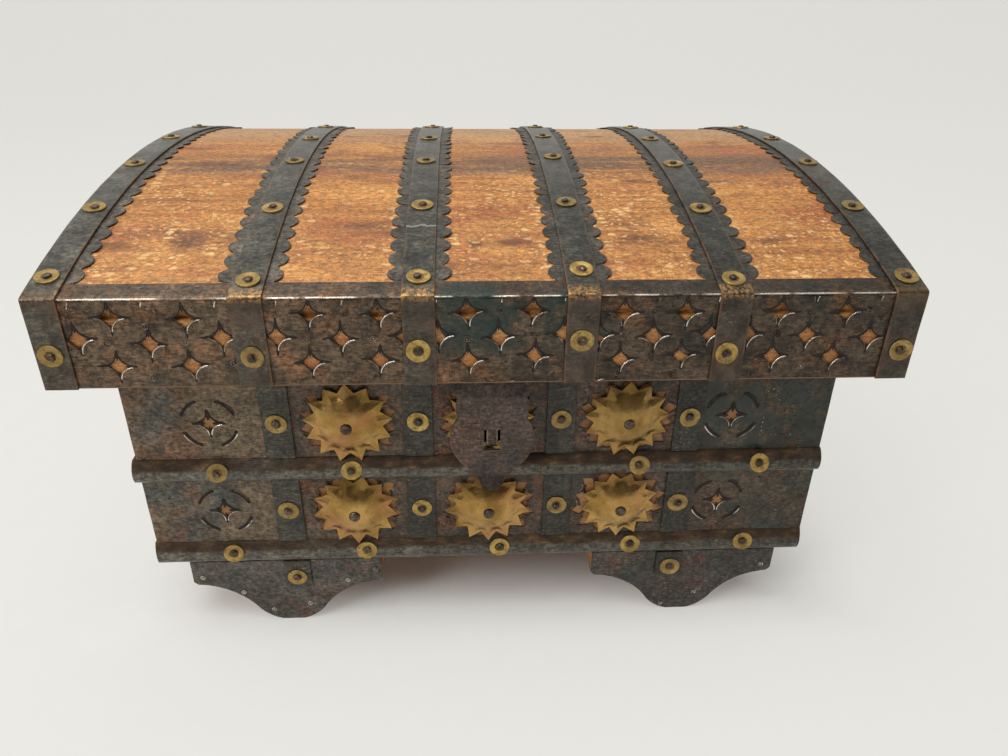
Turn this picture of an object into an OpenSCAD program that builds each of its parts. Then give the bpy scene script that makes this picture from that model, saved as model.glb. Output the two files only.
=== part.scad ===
// Dowry chest: a wooden box on bracket feet under a barrel-topped lid, bound in
// sheet iron and fastened with brass washers, star bosses and a hasp.
// Millimetres, +Z up, front faces -Y, origin on the ground under the middle.

/* [Lid] */
// Width of the lid
lid_w = 450; // [420:1:480]
// Depth of the lid, front to back
lid_d = 368; // [330:1:400]
// Height of the lid's rim at the front
rim_h = 49; // [46:0.5:60]
// Rise of the barrel top above the rim
arch_rise = 24.4; // [18:0.2:32]
// Thickness of the top planks
plank_t = 11; // [8:0.5:14]
// Thickness of the rails and the arched ends
rim_t = 18; // [14:0.5:20]
// Height of the ledges that sit on the body
ledge_h = 12; // [8:0.5:16]
// Distance that the rim hangs below the body's top
lid_drop = 12; // [8:0.5:16]
// Distance from the front edge to the first plank joint, along the curve
front_plank_w = 196; // [150:1:200]
// Width of the middle plank, along the curve
middle_plank_w = 92; // [60:1:110]

/* [Body] */
// Distance that the lid stands out at each side of the body
side_overhang = 26; // [24:0.5:30]
// Distance that the lid stands out in front of the body
front_overhang = 24; // [23:0.5:30]
// Height of the body, bottom board included
body_h = 150.5; // [146:0.5:165]
// Thickness of the walls
wall_t = 16; // [12:0.5:20]
// Thickness of the bottom board
bottom_t = 14; // [10:0.5:18]

/* [Feet] */
// Height of the feet
foot_h = 49.5; // [46:0.5:56]
// Width of a foot
foot_w = 118; // [112:1:124]
// Thickness of a foot's board
foot_t = 18; // [14:0.5:22]
// Distance of the left feet from the middle, as a share of the body's width
foot_left_share = 0.312; // [0.305:0.001:0.32]
// Distance of the right feet from the middle, as a share of the body's width
foot_right_share = 0.3195; // [0.31:0.0005:0.325]
// Height of a foot's straight end
foot_end_h = 18.5; // [15:0.5:20]
// Radius of the round lobe under a foot
foot_lobe_r = 26; // [24:0.5:28]
// Depth of the flat worn on the lobe
foot_wear = 0.9; // [0.5:0.1:1.5]
// Size of the cut on the feet's lower corners
foot_corner = 2.4; // [1.5:0.1:3]
// Depth that the shoulders' coves cut into the lobe
cove_bite = 0.1; // [0.05:0.05:0.3]

/* [Iron] */
// Thickness of the iron sheet
sheet_t = 0.8; // [0.6:0.05:1]
// Thickness of the iron strap
strap_t = 1.4; // [1:0.1:1.8]
// Width of the straps
strap_w = 16.6; // [15:0.2:18]
// Bare wood left at each end of the lid
strap_inset = 1; // [0.5:0.1:2]
// Place of the second strap, as a share of the lid's width
lid_strap_2_share = -0.2622; // [-0.27:0.001:-0.255]
// Place of the third strap, as a share of the lid's width
lid_strap_3_share = -0.0756; // [-0.082:0.001:-0.068]
// Place of the fourth strap, as a share of the lid's width
lid_strap_4_share = 0.1078; // [0.1:0.001:0.115]
// Place of the fifth strap, as a share of the lid's width
lid_strap_5_share = 0.2789; // [0.272:0.001:0.286]
// Distance that the straps turn down the lid's back
strap_back_drop = 24; // [15:1:26]
// Depth of the panels' fold on top of the lid
flange_d = 12; // [9:0.5:15]
// Bare wood left under the lid's front panels
panel_lip = 1.4; // [1:0.1:2.5]
// Half width of a scalloped strip between its lobes
scallop_half_w = 12.6; // [11:0.2:13.2]
// Distance that a lobe stands out of its strip
scallop_lobe = 4.3; // [3.5:0.1:5]
// Distance from lobe to lobe
scallop_pitch = 13.2; // [12:0.2:15]
// Clearance between iron pieces that butt
butt_gap = 0.2; // [0.1:0.05:0.4]
// Gap between a strap and the sheet under it
lay_gap = 0.05; // [0.02:0.01:0.1]

/* [Pierced work] */
// Height of the middle row of stars above the rim's lower edge
star_row_z = 27.4; // [25:0.2:29]
// Height between the rows of stars
star_row_pitch = 13.2; // [12:0.2:14]
// Distance between stars of one row, as a share of the lid's width
star_pitch_share = 0.0744; // [0.072:0.0005:0.078]
// Reach of a star's point from its middle
star_reach = 8.6; // [8:0.1:9.2]
// Radius of the discs that leave a star between them
star_disc_r = 6.9; // [6.7:0.05:7]
// Width of the slit at a star's points
star_slit = 0.9; // [0.7:0.1:1.2]
// Radius of a corner rosette's ring of slits
rosette_r = 15.4; // [14:0.2:17]
// Width of the rosette's slits
rosette_slit = 1.5; // [1:0.1:2]
// Angle that each slit covers
rosette_arc = 52; // [40:1:64]
// Distance of the left rosettes from the middle, as a share of the body's width
rosette_left_share = 0.3894; // [0.38:0.001:0.4]
// Distance of the right rosettes from the middle, as a share of the body's width
rosette_right_share = 0.3593; // [0.355:0.001:0.375]
// Radius of the round opening behind a boss
opening_r = 19.5; // [18:0.2:20]
// Radius of the lobes round that opening
opening_lobe_r = 4.2; // [3.6:0.1:4.6]

/* [Body ironwork] */
// Height of the bottom band's lower edge above the body's underside
bottom_band_lift = 1.8; // [1:0.1:3]
// Height of the bottom band
bottom_band_h = 14.5; // [13:0.5:16]
// Distance that the bottom band stands out
bottom_band_proud = 3.4; // [2.5:0.1:4]
// Height of the middle band's lower edge above the body's underside
middle_band_lift = 64; // [62:0.5:66]
// Height of the middle band
middle_band_h = 13.5; // [12:0.5:15]
// Distance that the middle band stands out
middle_band_proud = 5.3; // [4:0.1:5.6]
// Radius of the middle band's curve
middle_band_r = 10; // [9:0.5:14]
// Radius of the bottom band's curve
bottom_band_r = 15; // [13:0.5:18]
// Height of a band's crest, as a share of its height
band_crest = 0.38; // [0.3:0.01:0.45]
// How far a band stands out on the left side, as a share of its front
band_left_share = 0.6; // [0.5:0.05:0.7]
// How far a band stands out on the right side, as a share of its front
band_right_share = 0.3; // [0.25:0.05:0.4]
// Place of the bands' first washer, as a share of the body's width
band_washer_1_share = -0.387; // [-0.4:0.001:-0.375]
// Place of the bands' fourth washer, as a share of the body's width
band_washer_4_share = 0.2286; // [0.22:0.001:0.24]
// Place of the bands' last washer, as a share of the body's width
band_washer_5_share = 0.4096; // [0.4:0.001:0.42]
// Place of the bottom band's second washer, as a share of the body's width
bottom_washer_2_share = -0.1834; // [-0.195:0.001:-0.17]
// Place of the bottom band's third washer, as a share of the body's width
bottom_washer_3_share = 0.0226; // [0.015:0.001:0.035]
// Distance from the body's top down to the sheets
sheet_top_gap = 6; // [5:0.5:9]
// Distance that the corner sheets turn round the sides
corner_return = 25; // [15:1:40]
// Place of the first body strap, as a share of the body's width
body_strap_1_share = -0.2952; // [-0.3:0.001:-0.288]
// Place of the second body strap, as a share of the body's width
body_strap_2_share = -0.0955; // [-0.1:0.001:-0.09]
// Place of the third body strap, as a share of the body's width
body_strap_3_share = 0.1093; // [0.105:0.001:0.115]
// Place of the fourth body strap, as a share of the body's width
body_strap_4_share = 0.2965; // [0.29:0.001:0.302]
// Height of the upper row's middle above the body's underside
upper_row_lift = 101.5; // [100:0.5:104]

/* [Brass] */
// Diameter of the washers
washer_d = 12.6; // [11.5:0.1:13.2]
// Thickness of the washers
washer_t = 1; // [0.8:0.1:1.4]
// Distance between washers along the lid's straps
washer_pitch = 73.5; // [60:0.5:80]
// Distance from the front edge to the first washer
washer_first = 13.5; // [12:0.5:16]
// Height of the front washers above the rim's lower edge
front_washer_z = 19.5; // [16:0.5:26]
// Diameter of the nail heads
nail_head_d = 4.6; // [4:0.1:5.4]
// Height of the nail heads
nail_head_h = 1.3; // [1:0.1:1.8]
// Diameter of the nail shanks
nail_shank_d = 2.6; // [2:0.1:3]
// Reach of a boss's points from its middle
boss_tip_r = 25.6; // [25.2:0.1:26]
// Radius at the bottom of the gaps between the points
boss_valley_r = 19.6; // [19.2:0.1:20]
// Radius of the boss's dome
boss_dome_r = 17; // [16:0.1:17.5]
// Height of the dome
boss_h = 10; // [9:0.1:10.4]
// Height of the points
boss_tip_h = 3.6; // [3.2:0.1:4.4]
// Thickness of the boss's rim
boss_rim_t = 1.1; // [0.9:0.1:1.3]
// Number of points on a boss
boss_points = 13; // [11:1:15]
// Diameter of the nail head in a boss
boss_nail_d = 7.6; // [7:0.1:9]
// Distance of the outer bosses from the middle one, as a share of the body's width
boss_pitch_share = 0.1997; // [0.196:0.001:0.203]
// Place of the middle boss
boss_middle_x = 2; // [1:0.5:3]

/* [Hinges] */
// Width of a hinge leaf
hinge_w = 32; // [28:1:36]
// Length of the leaf on the body
body_leaf_h = 34; // [26:1:44]
// Length of the leaf on the lid
lid_leaf_h = 22; // [16:1:24]
// Thickness of the leaves
leaf_t = 2; // [1.6:0.1:2.4]
// Radius of the knuckles
knuckle_r = 4.2; // [3.8:0.1:4.6]
// Radius of the pin
pin_r = 2; // [1.6:0.1:2.2]
// Running clearance of the pins
pin_clear = 0.05; // [0.03:0.01:0.09]
// Gap between knuckles
knuckle_gap = 0.4; // [0.3:0.05:0.6]
// Gap between the lid and the body at rest
seat_gap = 0.3; // [0.25:0.05:0.5]

/* [Hasp] */
// Distance of the hasp's middle from the middle of the chest
hasp_x = 3.5; // [2:0.5:5]
// Distance of the hasp's pin behind the lid's front
hasp_pin_back = 12.2; // [11.5:0.1:12.8]
// Distance of the hasp's pin under the rim
hasp_pin_drop = 3; // [2.9:0.1:3.4]
// Distance of the plate's middle behind the lid's front
hasp_plate_back = 8.2; // [7.8:0.1:8.6]
// Thickness of the plate
hasp_t = 1.8; // [1.4:0.1:2]
// Radius of the hasp's pin
hasp_pin_r = 1.2; // [1:0.1:1.4]
// Radius of the hasp's barrel
hasp_knuckle_r = 2.5; // [2.2:0.1:2.6]
// Width of the hasp's barrel
hasp_knuckle_w = 26; // [22:1:30]
// Width of each leaf that holds the pin
hasp_outer_w = 9; // [7:0.5:11]
// Thickness of those leaves
hasp_leaf_t = 1.2; // [1:0.1:1.4]
// Angle where the plate's bulge turns into its tongue
shoulder_angle = 52; // [45:1:60]
// Distance of the fold under the rim
hasp_fold_drop = 13.6; // [12.5:0.1:14.5]
// Half width of the hasp at its hinge
hasp_top_half_w = 25; // [22:0.5:27]
// Radius of the plate's upper bulge
hasp_upper_r = 20; // [18:0.5:21]
// Radius of the plate's lower bulge
hasp_lower_r = 23.5; // [22:0.5:25]
// Distance of the upper bulge's middle under the rim
hasp_upper_drop = 20; // [19:0.5:21]
// Distance of the lower bulge's middle under the rim
hasp_lower_drop = 40.5; // [39:0.5:42]
// Distance of the tongue's end under the rim
hasp_end_drop = 75.5; // [72:0.5:77]
// Radius of the tongue's end
tongue_r = 7; // [5.5:0.5:8]
// Width of the slot
slot_w = 9; // [8.6:0.1:9.4]
// Height of the slot
slot_h = 13.4; // [13.2:0.1:13.8]
// Distance of the slot's middle under the rim
slot_drop = 41; // [40:0.5:42]
// Height of the staple's loop
staple_h = 11.4; // [10.6:0.1:11.6]
// Width of the staple's bar
staple_w = 6.4; // [5.6:0.1:6.6]
// Thickness of the staple's bar
staple_t = 2.5; // [2:0.1:2.8]
// Depth of the staple's legs in the front board
staple_root = 12; // [8:0.5:14]
// Gap between the hanging hasp and the staple's end
hasp_gap = 0.4; // [0.3:0.05:0.6]

/* [Hidden] */
$fn = 48;
arch_fn = 720;

wood_colour = "peru";
old_wood_colour = "sienna";
iron_colour = "dimgray";
strap_colour = "darkslategray";
rust_colour = "rosybrown";
brass_colour = "darkgoldenrod";
hasp_colour = "rosybrown";

// Widths and places across the front
body_w = lid_w - 2 * side_overhang;
foot_left_x = -foot_left_share * body_w;
foot_right_x = foot_right_share * body_w;
star_pitch = star_pitch_share * lid_w;
boss_pitch = boss_pitch_share * body_w;

// Depth: the bounding box, nails in front and hinge barrels behind, is centred on the origin.
front_stack = sheet_t + strap_t + washer_t + nail_head_h;
back_stack = 2 * knuckle_r;
lid_front = -(lid_d + front_stack + back_stack) / 2 + front_stack;
lid_back = lid_front + lid_d;
lid_mid_y = (lid_front + lid_back) / 2;
body_front = lid_front + front_overhang;
body_back = lid_back;
foot_back_y = body_back - foot_t;

// Heights above the ground
body_top = foot_h + body_h;
seat_z = body_top + seat_gap;
rim_z = body_top - lid_drop;
rim_top = rim_z + rim_h;
crown_z = rim_top + arch_rise;
sheet_top = body_top - sheet_top_gap;
bottom_band_z = foot_h + bottom_band_lift;
middle_band_z = foot_h + middle_band_lift;
lower_sheet_z = bottom_band_z + bottom_band_h + butt_gap;
lower_sheet_top = middle_band_z - butt_gap;
upper_sheet_z = middle_band_z + middle_band_h + butt_gap;
lower_row_z = (lower_sheet_z + lower_sheet_top) / 2;
upper_row_z = foot_h + upper_row_lift;

// The barrel top is one round arc through the front and back edges.
arch_r = (pow(lid_d / 2, 2) + pow(arch_rise, 2)) / (2 * arch_rise);
arch_z = crown_z - arch_r;
arch_half_angle = asin(lid_d / 2 / arch_r);
arch_length = 2 * arch_r * arch_half_angle * PI / 180;
function arch_angle(s) = s / arch_r * 180 / PI - arch_half_angle;

// Straps and panels on the lid, left to right
end_strap_x = lid_w / 2 - strap_inset - strap_w / 2;
inner_strap_xs = lid_w * [lid_strap_2_share, lid_strap_3_share, lid_strap_4_share, lid_strap_5_share];
lid_strap_xs = [-end_strap_x, each inner_strap_xs, end_strap_x];
panel_edges = [strap_inset - lid_w / 2, each inner_strap_xs, lid_w / 2 - strap_inset];
body_strap_xs = body_w * [body_strap_1_share, body_strap_2_share, body_strap_3_share, body_strap_4_share];
rosette_left_x = rosette_left_share * body_w;
rosette_right_x = rosette_right_share * body_w;
last_strap = len(lid_strap_xs) - 1;
hinge_xs = [(inner_strap_xs[0] + inner_strap_xs[1]) / 2, (inner_strap_xs[2] + inner_strap_xs[3]) / 2];
boss_xs = [boss_middle_x - boss_pitch, boss_middle_x, boss_middle_x + boss_pitch];
washer_count = floor((arch_length - 2 * washer_first) / washer_pitch) + 1;
right_band_washer_xs = body_w * [band_washer_4_share, band_washer_5_share];
left_band_washer_x = band_washer_1_share * body_w;
middle_band_washer_xs = [left_band_washer_x, boss_xs[0], boss_middle_x, each right_band_washer_xs];
bottom_band_washer_xs = [left_band_washer_x, each body_w * [bottom_washer_2_share, bottom_washer_3_share],
                         each right_band_washer_xs];

// Hinge and hasp axes
hinge_y = lid_back + knuckle_r;
hinge_z = body_top + seat_gap / 2;
bore_r = pin_r + pin_clear;
knuckle_w = (hinge_w - 2 * knuckle_gap) / 3;
hasp_pin_y = lid_front + hasp_pin_back;
hasp_pin_z = rim_z - hasp_pin_drop;
hasp_plate_y = lid_front + hasp_plate_back;
hasp_fold_z = rim_z - hasp_fold_drop;
staple_z = rim_z - slot_drop;
staple_front = hasp_plate_y + hasp_t / 2 + hasp_gap;
staple_hole_r = staple_h / 2 + 1;
staple_leg_zs = [staple_z - staple_h / 2, staple_z + staple_h / 2 - staple_t];
fit_gap = 0.1;
ring = 360;
overrun = 1;

// Lays a drawing in (y, z) along x.
module along_x(x0, x1) {
    translate([x0, 0, 0]) rotate([90, 0, 90]) linear_extrude(x1 - x0) children();
}

// Lays a drawing in (x, z) along y.
module along_y(y0, y1) {
    translate([0, y1, 0]) rotate([90, 0, 0]) linear_extrude(y1 - y0) children();
}

module box_between(low, high) {
    translate(low) cube(high - low);
}

module rect_between(low, high) {
    translate(low) square(high - low);
}

// The lid's side view, grown outwards by t
module lid_side(t) {
    intersection() {
        translate([lid_mid_y, arch_z]) circle(arch_r + t, $fn = arch_fn);
        rect_between([lid_front - t, rim_z - t], [lid_back + t, crown_z + t + overrun]);
    }
}

// A layer of iron over the lid, from t0 to t1 outside the wood
module lid_layer(t0, t1) {
    difference() {
        lid_side(t1);
        lid_side(t0);
    }
}

// Carries something flat from the origin to the lid's top, s along the curve and t outside it
module on_lid_top(x, s, t) {
    angle = arch_angle(s);
    y = lid_mid_y + (arch_r + t) * sin(angle);
    z = arch_z + (arch_r + t) * cos(angle);
    translate([x, y, z]) rotate([-angle, 0, 0]) children();
}

// Carries something flat from the origin to a front face at y
module on_front(x, y, z) {
    translate([x, y, z]) rotate([90, 0, 0]) children();
}

module washer() {
    difference() {
        cylinder(h = washer_t, d = washer_d);
        translate([0, 0, -overrun]) cylinder(h = washer_t + 2 * overrun, d = nail_shank_d + 2 * fit_gap);
    }
}

module nail() {
    cylinder(h = washer_t, d = nail_shank_d);
    translate([0, 0, washer_t]) cylinder(h = nail_head_h / 2, d = nail_head_d);
    translate([0, 0, washer_t + nail_head_h / 2]) cylinder(h = nail_head_h / 2, d1 = nail_head_d, d2 = nail_shank_d);
}

// A four-pointed star, left between four discs
module star() {
    disc_offset = star_disc_r + star_slit / 2;
    difference() {
        circle(star_reach);
        for (sx = [-1, 1], sy = [-1, 1]) {
            translate([sx * disc_offset, sy * disc_offset]) circle(star_disc_r);
        }
    }
}

// A star inside four curved slits
module rosette() {
    star();
    for (quarter = [45:90:315]) {
        rotate(quarter) intersection() {
            difference() {
                circle(rosette_r + rosette_slit / 2);
                circle(rosette_r - rosette_slit / 2);
            }
            polygon([
                [0, 0],
                [2 * rosette_r, -2 * rosette_r * tan(rosette_arc / 2)],
                [2 * rosette_r, 2 * rosette_r * tan(rosette_arc / 2)]
            ]);
        }
    }
}

// Wood of the body

module bottom_board() {
    color(old_wood_colour)
        box_between([-body_w / 2, body_front, foot_h], [body_w / 2, body_back, foot_h + bottom_t]);
}

module wall(low, high) {
    color(old_wood_colour) box_between(low, high);
}

module body_front_board() {
    color(old_wood_colour) difference() {
        box_between([-body_w / 2, body_front, foot_h + bottom_t], [body_w / 2, body_front + wall_t, body_top]);
        for (leg = staple_leg_zs) {
            box_between([hasp_x - staple_w / 2 - fit_gap, body_front - overrun, leg - fit_gap],
                        [hasp_x + staple_w / 2 + fit_gap, body_front + staple_root + fit_gap,
                         leg + staple_t + fit_gap]);
        }
    }
}

module body_back_board() {
    wall([-body_w / 2, body_back - wall_t, foot_h + bottom_t], [body_w / 2, body_back, body_top]);
}

module body_side_board(side) {
    inner = body_w / 2 - wall_t;
    x0 = side < 0 ? -body_w / 2 : inner;
    wall([x0, body_front + wall_t, foot_h + bottom_t], [x0 + wall_t, body_back - wall_t, body_top]);
}

// A bracket foot: straight ends with cut corners, and coved shoulders that bite a little into a round lobe
module foot_outline() {
    lobe_z = foot_lobe_r - foot_wear;
    end_z = foot_h - foot_end_h;
    half_w = foot_w / 2;
    rise = end_z - lobe_z;
    meet_r = foot_lobe_r - cove_bite;
    cove_r = (pow(half_w, 2) + pow(rise, 2) - pow(meet_r, 2)) / (2 * (meet_r + rise));
    cove_z = end_z - cove_r;
    meet_z = lobe_z + (cove_z - lobe_z) * meet_r / (meet_r + cove_r);
    difference() {
        union() {
            intersection() {
                translate([0, lobe_z]) circle(foot_lobe_r, $fn = 96);
                rect_between([-half_w, 0], [half_w, end_z]);
            }
            rect_between([-half_w, meet_z], [half_w, foot_h]);
        }
        for (side = [-1, 1]) {
            translate([side * half_w, cove_z]) circle(cove_r, $fn = 192);
            polygon([
                [side * (half_w - foot_corner - overrun), end_z - overrun],
                [side * (half_w + overrun), end_z - overrun],
                [side * (half_w + overrun), end_z + foot_corner + overrun]
            ]);
        }
    }
}

module foot(x, y) {
    color(old_wood_colour) along_y(y, y + foot_t) translate([x, 0]) foot_outline();
}

module foot_plates() {
    color(iron_colour) for (x = [foot_left_x, foot_right_x]) {
        along_y(body_front - sheet_t, body_front) translate([x, 0]) foot_outline();
    }
}

module foot_strap_ends() {
    strap_end = foot_h - foot_end_h;
    color(strap_colour) for (x = [body_strap_xs[0], body_strap_xs[3]]) {
        box_between([x - strap_w / 2, body_front - sheet_t - strap_t, strap_end],
                    [x + strap_w / 2, body_front - sheet_t, foot_h]);
    }
}

// Iron of the body

module corner_sheet(side, low_z, high_z, rosette_x, rosette_z) {
    inner_x = side < 0 ? -body_strap_xs[0] : body_strap_xs[3];
    corner_x = body_w / 2;
    color(iron_colour) mirror([side < 0 ? 1 : 0, 0, 0]) {
        difference() {
            box_between([inner_x + butt_gap / 2, body_front - sheet_t, low_z],
                        [corner_x + sheet_t, body_front, high_z]);
            along_y(body_front - sheet_t - overrun, body_front + overrun)
                translate([rosette_x, rosette_z]) rosette();
        }
        box_between([corner_x, body_front, low_z], [corner_x + sheet_t, body_front + corner_return, high_z]);
    }
}

// A scalloped opening that shows the wood round a boss
module boss_opening() {
    circle(opening_r);
    for (i = [1:boss_points - 1]) {
        rotate(i * ring / (boss_points - 1)) translate([opening_r, 0]) circle(opening_lobe_r);
    }
}

module pierced_panels(low_z, high_z, row_z) {
    color(rust_colour) for (i = [0:2]) {
        along_y(body_front - sheet_t, body_front) difference() {
            rect_between([body_strap_xs[i] + butt_gap / 2, low_z], [body_strap_xs[i + 1] - butt_gap / 2, high_z]);
            translate([boss_xs[i], row_z]) boss_opening();
        }
    }
}

module body_straps(low_z, high_z) {
    color(strap_colour) for (x = body_strap_xs) {
        box_between([x - strap_w / 2, body_front - sheet_t - strap_t, low_z],
                    [x + strap_w / 2, body_front - sheet_t, high_z]);
    }
}

// A band's section: distance outwards, height up from its lower edge
module band_section(height, proud, r) {
    intersection() {
        translate([proud - r, height * band_crest]) circle(r, $fn = 96);
        rect_between([0, 0], [proud + overrun, height]);
    }
}

// A band along the front, its bulge beaten flat where it turns back along the sides
module band(z, height, proud, r) {
    left = -body_w / 2 - band_left_share * proud;
    right = body_w / 2 + band_right_share * proud;
    color(strap_colour) {
        along_x(left, right) translate([body_front, z]) mirror([1, 0]) band_section(height, proud, r);
        box_between([left, body_front - fit_gap, z], [-body_w / 2, body_back, z + height]);
        box_between([body_w / 2, body_front - fit_gap, z], [right, body_back, z + height]);
    }
}

module middle_band() {
    band(middle_band_z, middle_band_h, middle_band_proud, middle_band_r);
}

module bottom_band() {
    band(bottom_band_z, bottom_band_h, bottom_band_proud, bottom_band_r);
}

// A pointed star: a low dome inside a rim that rises to its points
module star_boss(turn) {
    dome_sphere_r = (pow(boss_dome_r, 2) + pow(boss_h, 2)) / (2 * boss_h);
    rim_slope = (boss_tip_h - boss_rim_t) / (boss_tip_r - boss_dome_r + boss_rim_t);
    far_r = boss_tip_r + overrun;
    far_h = boss_tip_h + overrun * rim_slope;
    intersection() {
        rotate_extrude($fn = 96) {
            intersection() {
                translate([0, boss_h - dome_sphere_r]) circle(dome_sphere_r, $fn = 96);
                rect_between([0, 0], [boss_dome_r, boss_h]);
            }
            polygon([
                [boss_dome_r - 2 * boss_rim_t, 0],
                [boss_dome_r + boss_rim_t / 2, 0],
                [far_r, far_h - boss_rim_t],
                [far_r, far_h],
                [boss_dome_r - boss_rim_t, boss_rim_t]
            ]);
        }
        translate([0, 0, -overrun]) linear_extrude(boss_h + 2 * overrun) rotate(turn) polygon([
            for (i = [0:2 * boss_points - 1])
                let (r = i % 2 == 0 ? boss_tip_r : boss_valley_r, a = i * ring / 2 / boss_points)
                [r * cos(a), r * sin(a)]
        ]);
    }
}

// The hole under a boss's nail, or round the staple
module boss_bore(r) {
    translate([0, 0, -overrun]) cylinder(h = boss_h + 2 * overrun, r = r);
}

module star_bosses() {
    valley_turn = 90 + ring / 2 / boss_points;
    color(brass_colour) for (i = [0:2]) {
        difference() {
            on_front(boss_xs[i], body_front, lower_row_z) difference() {
                star_boss(valley_turn);
                boss_bore(nail_shank_d / 2 + fit_gap);
            }
            // The upper points stop at the middle band's edge
            box_between([-body_w / 2, body_front - boss_h, lower_sheet_top],
                        [body_w / 2, body_front + overrun, lower_sheet_top + middle_band_h]);
        }
        difference() {
            on_front(boss_xs[i], body_front, upper_row_z) difference() {
                star_boss(-valley_turn);
                if (i != 1) {
                    boss_bore(nail_shank_d / 2 + fit_gap);
                }
            }
            if (i == 1) {
                on_front(hasp_x, body_front, staple_z) boss_bore(staple_hole_r);
            }
        }
    }
}

module boss_nails() {
    color(iron_colour) for (i = [0:2], row = [0, 1]) {
        if (i != 1 || row == 0) {
            on_front(boss_xs[i], body_front, row == 0 ? lower_row_z : upper_row_z) {
                cylinder(h = boss_h, d = nail_shank_d);
                translate([0, 0, boss_h]) cylinder(h = nail_head_h, d1 = boss_nail_d, d2 = nail_head_d);
            }
        }
    }
}

module staple() {
    color(iron_colour) {
        box_between([hasp_x - staple_w / 2, staple_front, staple_z - staple_h / 2],
                    [hasp_x + staple_w / 2, staple_front + staple_t, staple_z + staple_h / 2]);
        for (leg = staple_leg_zs) {
            box_between([hasp_x - staple_w / 2, staple_front, leg],
                        [hasp_x + staple_w / 2, body_front + staple_root, leg + staple_t]);
        }
    }
}

// Carries something flat onto a band at the middle of its height
module on_band(x, z, height, proud, r) {
    lean = asin(height * (1 / 2 - band_crest) / r);
    centre_y = body_front - (proud - r);
    centre_z = z + height * band_crest;
    translate([x, centre_y - r * cos(lean), centre_z + r * sin(lean)]) rotate([90 - lean, 0, 0]) children();
}

// Carries something to each of the body's washers
module each_body_washer() {
    for (x = body_strap_xs) {
        on_front(x, body_front - sheet_t - strap_t, upper_row_z) children();
        on_front(x, body_front - sheet_t - strap_t, lower_row_z) children();
    }
    for (x = middle_band_washer_xs) {
        on_band(x, middle_band_z, middle_band_h, middle_band_proud, middle_band_r) children();
    }
    for (x = bottom_band_washer_xs) {
        on_band(x, bottom_band_z, bottom_band_h, bottom_band_proud, bottom_band_r) children();
    }
    for (x = [body_strap_xs[0], body_strap_xs[3]]) {
        on_front(x, body_front - sheet_t - strap_t, foot_h - foot_end_h + washer_d / 2) children();
    }
}

module body_washers() {
    color(brass_colour) each_body_washer() washer();
}

module body_nails() {
    color(iron_colour) each_body_washer() nail();
}

// Hinges at the back

module hinge_body_leaves() {
    color(iron_colour) for (x = hinge_xs) {
        middle_low = x - knuckle_w / 2 - knuckle_gap;
        middle_high = x + knuckle_w / 2 + knuckle_gap;
        difference() {
            union() {
                box_between([x - hinge_w / 2, lid_back, hinge_z - body_leaf_h],
                            [x + hinge_w / 2, lid_back + leaf_t, hinge_z]);
                along_x(x - hinge_w / 2, x + hinge_w / 2) translate([hinge_y, hinge_z]) circle(knuckle_r);
            }
            along_x(x - hinge_w / 2 - overrun, x + hinge_w / 2 + overrun)
                translate([hinge_y, hinge_z]) circle(bore_r);
            along_x(middle_low, middle_high) translate([hinge_y, hinge_z]) circle(knuckle_r + knuckle_gap);
        }
    }
}

module hinge_pins() {
    color(iron_colour) for (x = hinge_xs) {
        along_x(x - hinge_w / 2, x + hinge_w / 2) translate([hinge_y, hinge_z]) circle(pin_r);
    }
}

module hinge_lid_leaves() {
    color(iron_colour) for (x = hinge_xs) {
        difference() {
            union() {
                box_between([x - hinge_w / 2, lid_back, hinge_z],
                            [x + hinge_w / 2, lid_back + leaf_t, hinge_z + lid_leaf_h]);
                along_x(x - knuckle_w / 2, x + knuckle_w / 2) translate([hinge_y, hinge_z]) circle(knuckle_r);
            }
            along_x(x - hinge_w / 2 - overrun, x + hinge_w / 2 + overrun)
                translate([hinge_y, hinge_z]) circle(bore_r);
            for (side = [0, 1]) {
                translate([x, 0, 0]) mirror([side, 0, 0]) along_x(knuckle_w / 2, hinge_w / 2 + overrun)
                    translate([hinge_y, hinge_z]) circle(knuckle_r + knuckle_gap);
            }
        }
    }
}

// Wood of the lid

module lid_wood_side() {
    intersection() {
        translate([lid_mid_y, arch_z]) circle(arch_r - plank_t, $fn = arch_fn);
        rect_between([lid_front, rim_z], [lid_back, crown_z]);
    }
}

module lid_front_rail() {
    color(wood_colour) along_x(-lid_w / 2, lid_w / 2) intersection() {
        lid_wood_side();
        rect_between([lid_front, rim_z], [lid_front + rim_t, crown_z]);
    }
}

module lid_back_rail() {
    color(wood_colour) along_x(-lid_w / 2 + rim_t, lid_w / 2 - rim_t) intersection() {
        lid_wood_side();
        rect_between([lid_back - rim_t, seat_z], [lid_back, crown_z]);
    }
}

module lid_end(side) {
    x0 = side < 0 ? -lid_w / 2 : lid_w / 2 - rim_t;
    color(wood_colour) along_x(x0, x0 + rim_t) intersection() {
        lid_wood_side();
        rect_between([lid_front + rim_t, rim_z], [lid_back, crown_z]);
    }
}

// One plank of the top, from s0 to s1 along the curve
module lid_plank(s0, s1) {
    far = arch_r + 2 * lid_d;
    function spoke(s) = [lid_mid_y + far * sin(arch_angle(s)), arch_z + far * cos(arch_angle(s))];
    color(wood_colour) along_x(-lid_w / 2, lid_w / 2) intersection() {
        difference() {
            lid_side(0);
            translate([lid_mid_y, arch_z]) circle(arch_r - plank_t, $fn = arch_fn);
        }
        polygon([[lid_mid_y, arch_z], spoke(s0), spoke(s1)]);
    }
}

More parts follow.
